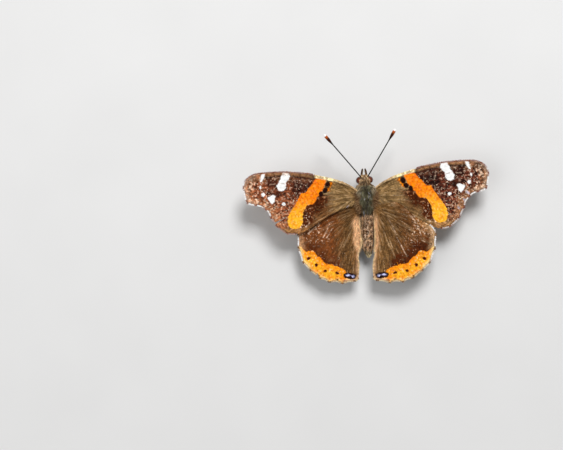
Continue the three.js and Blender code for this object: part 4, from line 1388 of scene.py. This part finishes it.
def body_locks(name):
    """Locks of hair over a length of the body, combed to the rear and out to the sides. Their
    colours are those of the body under their tips."""
    front, back, count, (length, width, rise), seed, slot, sway = FUR[name]
    rng = np.random.default_rng(seed)
    y, angle = spread_over_body(front, back, count, rng)
    here, rear, round_body, out = body_frame(y, angle)
    kept = ~in_eye(here, 0.12)
    y, angle, here, rear, round_body, out = (part[kept] for part in (y, angle, here, rear, round_body, out))
    count = len(y)
    clump = noise(columns(y, angle * 2), 0.45, seed) * 1.2
    comb = np.sign(np.cos(angle)) * -0.25 * np.abs(np.sin(angle))
    along = unit(rear + round_body * (sway * clump + comb + rng.normal(0, 0.12, count))[:, None])
    sizes = spans(rng, count, (0.65, 1.15), (0.7, 1.2), (0.6, 1.25))
    sizes *= columns(length, width, rise * (1 + 0.35 * clump))
    sizes[:, :2] *= (0.5 + 0.5 * ramp(6.4, 5.7, y))[:, None]
    tip_y, tip_angle = body_place(here + along * sizes[:, :1] * 0.8 + out * sizes[:, 2:])
    tip_y = np.where(y > NECK_Y + 0.2, np.maximum(tip_y, NECK_Y + 0.1), tip_y)
    tip_y = np.where(y > WAIST_Y + 0.35, np.maximum(tip_y, WAIST_Y + 0.3), tip_y)
    light = rng.random(count)
    colours = tint(body_colour(tip_y, tip_angle), PALE_GREY, 0.5 * ramp(0.75, 1.0, light))
    colours *= (0.65 + 0.6 * rng.random(count))[:, None]
    grown = here - 0.04 * out, along, out, sizes
    coat_piece(name, LOCKS, grown, colours, (0.65, 1.25), body_bake(y, angle), slot)


def wing_root_locks():
    """Long hair from the thorax's sides that spreads over the bases of the wings."""
    rng = np.random.default_rng(45)
    count = WING_ROOT_LOCKS
    y = rng.uniform(-2.3, 1.9, count)
    lift = rng.uniform(-0.15, 0.75, count)
    side = rng.choice((-1, 1), count)
    angle = np.where(side > 0, lift, np.pi - lift)
    here, rear, _, out = body_frame(y, angle)
    fan = (0.55 - 0.28 * y + rng.normal(0, 0.2, count))[:, None]
    along = unit(columns(side, 0, 0.12 + 0.2 * lift) + rear * fan)
    normals = unit(np.cross(along, np.cross(UP, along)))
    sizes = spans(rng, count, (0.9, 1.9), (0.05, 0.09), (0.1, 0.3))
    roots = here - 0.06 * out
    tones = rng.random(count)
    colours = layered(
        BROWN, (FAWN, ramp(0.4, 0.9, tones)), (HEAD_DARK, 0.7 * ramp(0.35, 0.05, tones)),
    )
    tips = np.abs((roots + along * sizes[:, :1] + normals * sizes[:, 2:])[:, :2])
    # Locks whose tips lie on the base glints take the painted lilac glint too
    for base_glint in BASE_GLINTS:
        colours = tint(colours, LILAC, 0.9 * (oval_depth(tips, *base_glint) > -0.08))
    grown = roots, along, normals, sizes
    coat_piece("fur_wing_roots", LOCKS, grown, colours, (0.7, 1.2), body_bake(y, angle), "fur")


def abdomen_scales():
    """Overlapping scales all over the abdomen."""
    rng = np.random.default_rng(401)
    count = ABDOMEN_SCALES
    y, angle = spread_over_body(WAIST_Y - 0.1, ABDOMEN_END + 0.1, count, rng)
    here, rear, round_body, out = body_frame(y, angle)
    along = unit(rear + round_body * rng.normal(0, 0.15, count)[:, None])
    sizes = spans(rng, count, (0.3, 0.42), (0.13, 0.19), (0.05, 0.13))
    colours = body_colour(y, angle) * rng.uniform(0.7, 1.3, count)[:, None]
    colours = tint(colours, PALE_MARK_AND_GLINT, 0.5 * (rng.random(count) < 0.12))
    grown = here, along, out, sizes
    coat_piece("scales_abdomen", SCALES, grown, colours, (0.8, 1.1), body_bake(y, angle), "abdomen")


# Head: the right eye, and how far the middle of a lens stands out
EYE_CENTRE = np.array([1.2, 5.02, BODY_Z - 0.2])
EYE_RADII = np.array([0.91, 0.88, 1.03])
LENS_RISE = 0.012


def eye(side, sign):
    """A compound eye: a ball whose lenses stand out, dark red-brown with darker bands and painted shade
    down its sides.
    """
    bpy.ops.mesh.primitive_ico_sphere_add(subdivisions=5, radius=1)
    ball = bpy.context.object
    coarse = len(ball.data.vertices)
    ball.modifiers.new("finer", "SUBSURF").levels = 1
    bpy.ops.object.modifier_apply(modifier="finer")
    directions = unit(np.array([v.co[:] for v in ball.data.vertices]))
    faces = np.array([tuple(p.vertices) for p in ball.data.polygons])
    bpy.data.objects.remove(ball)
    lens_rise = np.where(np.arange(len(directions)) < coarse, LENS_RISE, 0)
    points = for_side(directions * (EYE_RADII + lens_rise[:, None]), sign) + for_side(EYE_CENTRE, sign)
    faces = np.vstack([faces[:, [0, 1, 2]], faces[:, [0, 2, 3]]])
    if sign < 0:
        faces = faces[:, ::-1]
    bands = noise(columns(directions[:, 2] * 3.0, directions[:, 1] * 0.7), 0.5, 81)
    colours = layered(
        EYE_RED,
        (EYE_DARK, 0.8 * ramp(-0.2, 0.6, bands)),
        # Painted shade: the eye darkens away from its top
        (EYE_DARK, 0.8 * ramp(0.75, 0.35, directions[:, 2])),
    )
    piece = make_piece(f"eye_lens_{side}", points, faces, EYE_FINISH, "eye", colours)
    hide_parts(f"eye_{side}")


def eye_hair(side, sign):
    """Very short hair that stands on the eye between the lenses."""
    rng = np.random.default_rng(60 + sign)
    count = EYE_HAIRS
    up = rng.uniform(-0.95, 1, count)
    turn = rng.uniform(-0.5, 0.62, count) * np.pi
    flat = np.sqrt(1 - up**2)
    away = columns(flat * np.cos(turn) * sign, flat * np.sin(turn), up)
    normals = unit(away / EYE_RADII)
    along = unit(normals + rng.normal(0, 0.15, (count, 3)) + (0, -0.25, 0))
    across = unit(np.cross(along, (0.31, 0.2, 0.93)))
    sizes = columns(rng.uniform(0.1, 0.17, count), 0.012, 0.012)
    colours = HEAD_PALE * rng.uniform(0.3, 0.8, (count, 1))
    bake = BAKE_BORDER + 0.48 * (columns(turn / np.pi, up) + 1)
    roots = away * EYE_RADII + for_side(EYE_CENTRE, sign) - 0.01 * normals
    coat_piece(f"eye_hair_{side}", LOCKS, (roots, along, across, sizes), colours, (0.7, 1), bake, "eye")


def brow_locks(side, sign):
    """Short hair from the side of the head that lies over the inner part of an eye."""
    rng = np.random.default_rng(70 + sign)
    count = BROW_LOCKS
    front = rng.uniform(-0.95, 0.95, count)
    forward = ramp(0.0, 0.6, front)
    inward = rng.uniform(-0.75, -0.05 - 0.4 * forward, count) * np.sqrt(1 - front**2)
    away = columns(inward, front, np.sqrt(np.clip(1 - front**2 - inward**2, 0.02, 1)))
    normals = unit(away / EYE_RADII)
    roots = away * EYE_RADII + EYE_CENTRE
    outward, forwards = rng.uniform(0.6, 1.0, count), rng.uniform(-0.9, 0.1, count)
    along = laid_flat(columns(outward, forwards, 0), normals)
    sizes = spans(rng, count, (0.25, 0.5), (0.05, 0.08), (0.05, 0.12))
    sizes[:, 0] *= 1 - 0.45 * forward
    tone = rng.random(count) + 0.3 * mottle(roots[:, :2], 0.3, 91)
    colours = layered(
        HEAD_BROWN, (HEAD_PALE, 0.8 * ramp(0.5, 0.9, tone)), (HEAD_DARK, 0.85 * ramp(0.4, 0.1, tone)),
    )
    grown = roots - 0.03 * normals, along, normals, sizes
    coat_piece(
        f"fur_brow_{side}", LOCKS, grown, colours, (0.7, 1.2), 0.5 + 0.45 * columns(inward, front), "fur",
        held=lambda points: for_side(points, sign), flip=sign < 0,
    )


# The base and tip of each antenna, and how far its middle stands above the line between them
ANTENNAE = {
    "left": ((-0.6, 5.45, BODY_Z + 0.6), (-9.43, 16.86, 9.6)),
    "right": ((0.6, 5.45, BODY_Z + 0.6), (8.33, 17.0, 9.4)),
}
ANTENNA_BOW = 0.35
ANTENNA_RADIUS = 0.145
CLUB_RADIUS = 0.4
ANTENNA_RINGS = 40
ANTENNA_SIDES = 16


def antenna(side):
    """A thin ringed shaft that swells into a club with a pale tip."""
    base, tip = (np.array(end) for end in ANTENNAE[side])
    middle = (base + tip) / 2 + (0, 0, ANTENNA_BOW)
    steps = ANTENNA_RINGS * 6
    share = np.linspace(0, 1, steps)
    club = ramp(0.76, 0.9, share) * ramp(1.012, 0.955, share)
    ringed = share * ANTENNA_RINGS % 1
    radii = ANTENNA_RADIUS + (CLUB_RADIUS - ANTENNA_RADIUS) * club
    radii *= 1 - 0.1 * ramp(0.75, 1.0, ringed) - 0.08 * ramp(0.2, 0, ringed)
    radii += 0.16 * ramp(0.03, 0.01, share)
    radii[-1] = 0.06
    points, faces = tube(spline([base, middle, tip], steps), radii, ANTENNA_SIDES)
    along = ring_shares(share, ANTENNA_SIDES)
    pale_ring = ramp(0.3, 0.05, along * ANTENNA_RINGS % 1)
    colours = layered(
        SHAFT,
        (SHAFT_RING, 0.5 * pale_ring * (along < 0.85)),
        (CLUB, ramp(0.8, 0.86, along)),
        (CLUB_ORANGE, 0.8 * ramp(0.9, 0.945, along)),
        (WHITE, ramp(0.96, 0.972, along)),
    )
    piece = make_piece(f"antenna_shaft_{side}", points, faces, SHAFT_FINISH, "antenna", colours)
    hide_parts(f"antenna_{side}")


def coated_limb(name, path, radii, count, size, paint, seed, slot, replaced=None, kind=LIMB_SCALES):
    """A limb's cuticle with its own coat of scales or bristles. Paint gives colours from the
    place along the limb, from 0 to 1, and the outward directions."""
    steps = len(path)
    points, faces = tube(path, radii, LIMB_SIDES)
    out = np.vstack([unit(points[:-2] - np.repeat(path, LIMB_SIDES, axis=0)), -UP, UP])
    colours = paint(ring_shares(np.linspace(0, 1, steps), LIMB_SIDES), out)
    skin = make_piece(name, points, faces, LIMB_FINISH, slot, colours * 0.7)
    if replaced:
        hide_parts(replaced)

    rng = np.random.default_rng(seed)
    place = rng.uniform(0.02, 0.97, count) * (steps - 1)
    low = place.astype(int)
    part = (place - low)[:, None]
    side = rng.integers(0, LIMB_SIDES, count)
    next_side = (side + 1) % LIMB_SIDES
    slide = rng.random((count, 1))
    rings = points[:-2].reshape(steps, LIMB_SIDES, 3)
    near, far = (rings[row, side] * (1 - slide) + rings[row, next_side] * slide for row in (low, low + 1))
    roots = near * (1 - part) + far * part
    normals = unit(roots - (path[low] * (1 - part) + path[low + 1] * part))
    along = laid_flat(path[low + 1] - path[low] + rng.normal(0, 0.06, (count, 3)) * size[0], normals)
    sizes = np.array(size) * rng.uniform(0.7, 1.2, (count, 3))
    share = place / (steps - 1)
    tones = paint(share, normals) * rng.uniform(0.75, 1.25, count)[:, None]
    bake = bake_square(columns((side + slide[:, 0]) / LIMB_SIDES, share))
    grown = roots - 0.01 * normals, along, normals, sizes
    coat_piece(f"{name}_coat", kind, grown, tones, (0.8, 1.15), bake, slot)


# The line of the right palp
PALP = [(0.56, 5.5, 4.2), (0.56, 6.4, 4.5), (0.46, 7.1, 4.95), (0.33, 7.75, 5.5)]


def palp(side, sign):
    """A feeler beside the mouth, brown outside and pale inside, with short bristles."""
    def paint(share, out):
        inner = 0.9 * ramp(-0.1, 0.6, -out[:, 0] * sign)
        return layered(PALP_BROWN, (PALP_PALE, inner), (PALP_TIP, 0.6 * ramp(0.75, 1.0, share)))

    share = np.linspace(0, 1, 40)
    radii = 0.17 * ramp(-0.3, 0.1, share) * ramp(1.06, 0.7, share) + 0.02
    coated_limb(
        f"palp_{side}_skin", spline(for_side(PALP, sign), 40), radii, 900, (0.28, 0.09, 0.09),
        paint, 500 + sign, "palp", f"palp_{side}", LOCKS,
    )


# The proboscis's coil: its middle, its turns, its outer radius and how much less the inner one is
COIL_Y = 5.7
COIL_Z = 2.45
COIL_TURNS = 1.6
COIL_RADIUS = 0.78
COIL_SHRINKS = 0.55


def proboscis():
    """The sucking tube, rolled up like a watch spring and finely ridged."""
    share = np.linspace(0, 1, 260)
    angle = math.pi * 0.75 - share * COIL_TURNS * 2 * math.pi
    radius = COIL_RADIUS - COIL_SHRINKS * share
    path = columns(0, COIL_Y + radius * np.cos(angle), COIL_Z + radius * np.sin(angle))
    radii = (0.135 - 0.05 * share) * (1 - 0.07 * (np.sin(share * 400) > 0))
    radii[-3:] *= (0.9, 0.7, 0.35)
    points, faces = tube(path, radii, LIMB_SIDES, flatten=0.85)
    colours = tint(HORN, HORN_DARK, 0.7 * ring_shares(share, LIMB_SIDES))
    piece = make_piece("proboscis_coil", points, faces, TUBE_FINISH, "proboscis", colours)
    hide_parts("proboscis")


# Legs, all on the right: hip, knee, ankle and toe of the walking ones, the line of the folded
# one, and the foot's length with the shares of it at which its joints end
LEGS = {
    "mid": [(0.9, 0.9, 3.7), (4.5, 2.0, 4.15), (6.2, 2.9, 0.34), (8.5, 4.0, 0)],
    "hind": [(0.95, -1.6, 3.7), (3.9, -4.6, 4.1), (5.3, -8.2, 0.34), (6.1, -10.7, 0)],
}
FORE_LEG = [(0.75, 2.4, 3.5), (1.05, 4.2, 2.75), (0.75, 6.1, 3.05)]
FOOT_LENGTH = 2.55
FOOT_JOINTS = (0.4, 0.58, 0.73, 0.86, 1.0)
ON_FLOOR = np.array([1, 1, 0])


def paint_leg(share, out):
    """Brown, paler below, with darker rings."""
    pale, dark = 0.7 * ramp(0.0, 0.8, -out[:, 2]), 0.5 * ramp(0.6, 1.0, np.sin(share * 9) ** 2)
    return layered(LEG_BROWN, (LEG_PALE, pale), (LEG_DARK, dark))


def grounded_tube(path, radii, sides, lowest, colour):
    """A tube that doesn't reach into the floor: its points, faces and colour."""
    points, faces = tube(path, radii, sides)
    points[:, 2] = np.maximum(points[:, 2], lowest)
    return points, faces, colour


def foot_parts(ankle, heading):
    """The jointed foot on the floor, with two claws: points, faces and colours of each part."""
    parts = []
    start = 0.0
    share_of_joint = np.linspace(0, 1, 12)
    for number, end in enumerate(FOOT_JOINTS):
        share = np.linspace(start, end, 12)[:, None]
        lift = 0.165 - 0.03 * number + (ankle[2] - 0.16) * (1 - ramp(0, 0.25, share))
        path = ankle * ON_FLOOR + heading * share * FOOT_LENGTH + UP * lift
        radii = (0.15 - 0.012 * number) * (0.72 + 0.28 * ramp(0, 0.8, share_of_joint))
        radii = np.maximum(radii * ramp(1.12, 0.94, share_of_joint), 0.03)
        parts.append(grounded_tube(path, radii, 12, 0.012, FOOT_BROWN * (1.1 - 0.12 * number)))
        start = end - 0.015
    across = np.cross(UP, heading)
    t = share_of_joint[:, None]
    base = ankle * ON_FLOOR + heading * FOOT_LENGTH * 0.985 + UP * 0.07
    for claw_side in (-1, 1):
        curve = heading * 0.26 * np.sin(t * 1.9) + across * claw_side * (0.03 + 0.1 * t)
        path = base + curve + UP * (0.04 * np.sin(np.pi * t) - 0.045 * t)
        parts.append(grounded_tube(path, np.linspace(0.035, 0.008, 12), 8, 0.004, CLAW_DARK))
    return parts


def spurs(end, toward, across):
    """A pair of stiff spurs at the lower end of a shin."""
    share = np.linspace(0, 1, 8)[:, None]
    radii = np.linspace(0.045, 0.008, 8)
    paths = [end + (toward * 0.42 + across * side * 0.22) * share for side in (-1, 1)]
    return [grounded_tube(path, radii, 7, 0.01, SPUR_BROWN) for path in paths]


def walking_leg(which, side, sign):
    """A leg that stands on the floor: thigh, shin, and a knee, spurs and foot in one piece."""
    hip, knee, ankle, toe = for_side(LEGS[which], sign)
    heading = toe - ankle * ON_FLOOR
    heading /= np.linalg.norm(heading)
    share = np.linspace(0, 1, 36)
    bend = np.sin(np.pi * share)
    thigh = hip + (knee - hip) * share[:, None] + UP * 0.12 * bend[:, None]
    shin = knee + (ankle - knee) * share[:, None] + heading * 0.1 * bend[:, None]
    thigh_radii = 0.2 + 0.12 * np.sin(np.pi * np.clip(share * 0.9 + 0.1, 0, 1)) - 0.04 * share
    shin_radii = 0.17 + 0.02 * bend - 0.03 * share
    seed = 600 + len(which) * 10 + sign
    coated_limb(
        f"thigh_{which}_{side}", thigh, thigh_radii, 1300, (0.3, 0.1, 0.07),
        paint_leg, seed, "leg", f"leg_{which}_{side}",
    )
    coated_limb(
        f"shin_{which}_{side}", shin, shin_radii, 1000, (0.26, 0.09, 0.07), paint_leg, seed + 5, "leg",
    )
    toward = (ankle - knee) / np.linalg.norm(ankle - knee) * 0.5 + heading * 0.6
    thigh_direction = (knee - hip) / np.linalg.norm(knee - hip)
    ball_path = knee + thigh_direction * np.linspace(-0.22, 0.16, 10)[:, None]
    ball_radii = 0.2 * np.sin(np.linspace(0.25, np.pi - 0.2, 10)) + 0.02
    parts = [(*tube(ball_path, ball_radii, 12), KNEE_BROWN)]
    parts += spurs(ankle - (ankle - knee) * 0.03, toward, np.cross(UP, heading))
    points, faces, colours = together(parts + foot_parts(ankle, heading))
    make_piece(f"foot_{which}_{side}", points, faces, LIMB_FINISH, "leg", colours)


def fore_leg(side, sign):
    """The short, brush-like foreleg, folded against the breast."""
    share = np.linspace(0, 1, 40)
    radii = 0.17 + 0.04 * np.sin(np.pi * share) - 0.12 * ramp(0.8, 1.0, share)
    coated_limb(
        f"brush_leg_{side}", spline(for_side(FORE_LEG, sign), 40), radii, 1400, (0.42, 0.06, 0.13),
        paint_leg, 700 + sign, "leg", f"leg_fore_{side}", LOCKS,
    )


# Set: the floor's size in metres and the world's light
FLOOR_SIZE = 5
WORLD_COLOUR = (1, 0.99, 0.97, 1)
WORLD_STRENGTH = 0.3
# Each light: its place and size in metres and its power in watts
LIGHTS = {"key": ((0.1, 0.36, 0.55), 0.24, 3.9), "fill": ((-0.4, -0.05, 0.55), 0.5, 1.2)}
LIGHTS_LOOK_AT = Vector((0, 0, 0.005))
# The photograph's frame, seen from straight above, with the butterfly to the right of its middle
CAMERA_PLACE = (-21.57, -2.69, 400)
CAMERA_TURN = -4.06
LENS = 100.8


def floor():
    """A plain pale floor."""
    bpy.ops.mesh.primitive_grid_add(x_subdivisions=4, y_subdivisions=4, size=FLOOR_SIZE)
    plane = bpy.context.object
    plane.name = "floor"
    made, shader, wire, add = new_material("pale_floor")
    place = add("ShaderNodeTexCoord", {}).outputs["Object"]
    grain = add("ShaderNodeTexNoise", {"Vector": place, "Scale": 40}).outputs["Fac"]
    pale = add("ShaderNodeMapRange", {"Value": grain, "To Min": 0.66, "To Max": 0.71}).outputs["Result"]
    wire(shader, {"Base Color": pale, "Roughness": 0.9, "Specular IOR Level": 0.1})
    plane.data.materials.append(made)


def lights():
    """Two square soft lights that look at the butterfly, in a dim white world."""
    world = bpy.data.worlds.new("studio")
    world.use_nodes = True
    background = world.node_tree.nodes["Background"]
    background.inputs["Color"].default_value = WORLD_COLOUR
    background.inputs["Strength"].default_value = WORLD_STRENGTH
    bpy.context.scene.world = world
    for name, (place, size, watts) in LIGHTS.items():
        data = bpy.data.lights.new(name, "AREA")
        data.size = size
        data.energy = watts
        lamp = bpy.data.objects.new(name, data)
        bpy.context.scene.collection.objects.link(lamp)
        lamp.location = place
        lamp.rotation_euler = (LIGHTS_LOOK_AT - Vector(place)).to_track_quat("-Z", "Y").to_euler()
    bpy.context.scene.view_settings.view_transform = "Standard"


def camera():
    """The photograph's viewpoint, straight above."""
    data = bpy.data.cameras.new("camera")
    data.lens = LENS
    data.clip_start = 0.01
    eye_point = bpy.data.objects.new("camera", data)
    bpy.context.scene.collection.objects.link(eye_point)
    eye_point.location = np.array(CAMERA_PLACE) * MM
    eye_point.rotation_euler = (0, 0, math.radians(CAMERA_TURN))
    bpy.context.scene.camera = eye_point


camera()
lights()
floor()
body_skin()
abdomen_scales()
body_locks("fur_thorax")
body_locks("fur_thorax_long")
wing_root_locks()
for fur_name in ("fur_head", "fur_collar", "fur_abdomen", "fur_tail"):
    body_locks(fur_name)
proboscis()
for side_name, side_sign in SIDES.items():
    eye(side_name, side_sign)
    eye_hair(side_name, side_sign)
    brow_locks(side_name, side_sign)
    antenna(side_name)
    palp(side_name, side_sign)
    fore_leg(side_name, side_sign)
    for leg_name in LEGS:
        walking_leg(leg_name, side_name, side_sign)
    for wing_kind in WINGS:
        wing_name = f"{wing_kind}_{side_name}"
        wing_skin(wing_name, wing_kind, side_sign)
        wing_scales(wing_name, wing_kind, side_sign, 1)
        wing_scales(wing_name, wing_kind, side_sign, -1)
        wing_fringe(wing_name, wing_kind, side_sign)
        wing_hair(wing_name, wing_kind, side_sign)
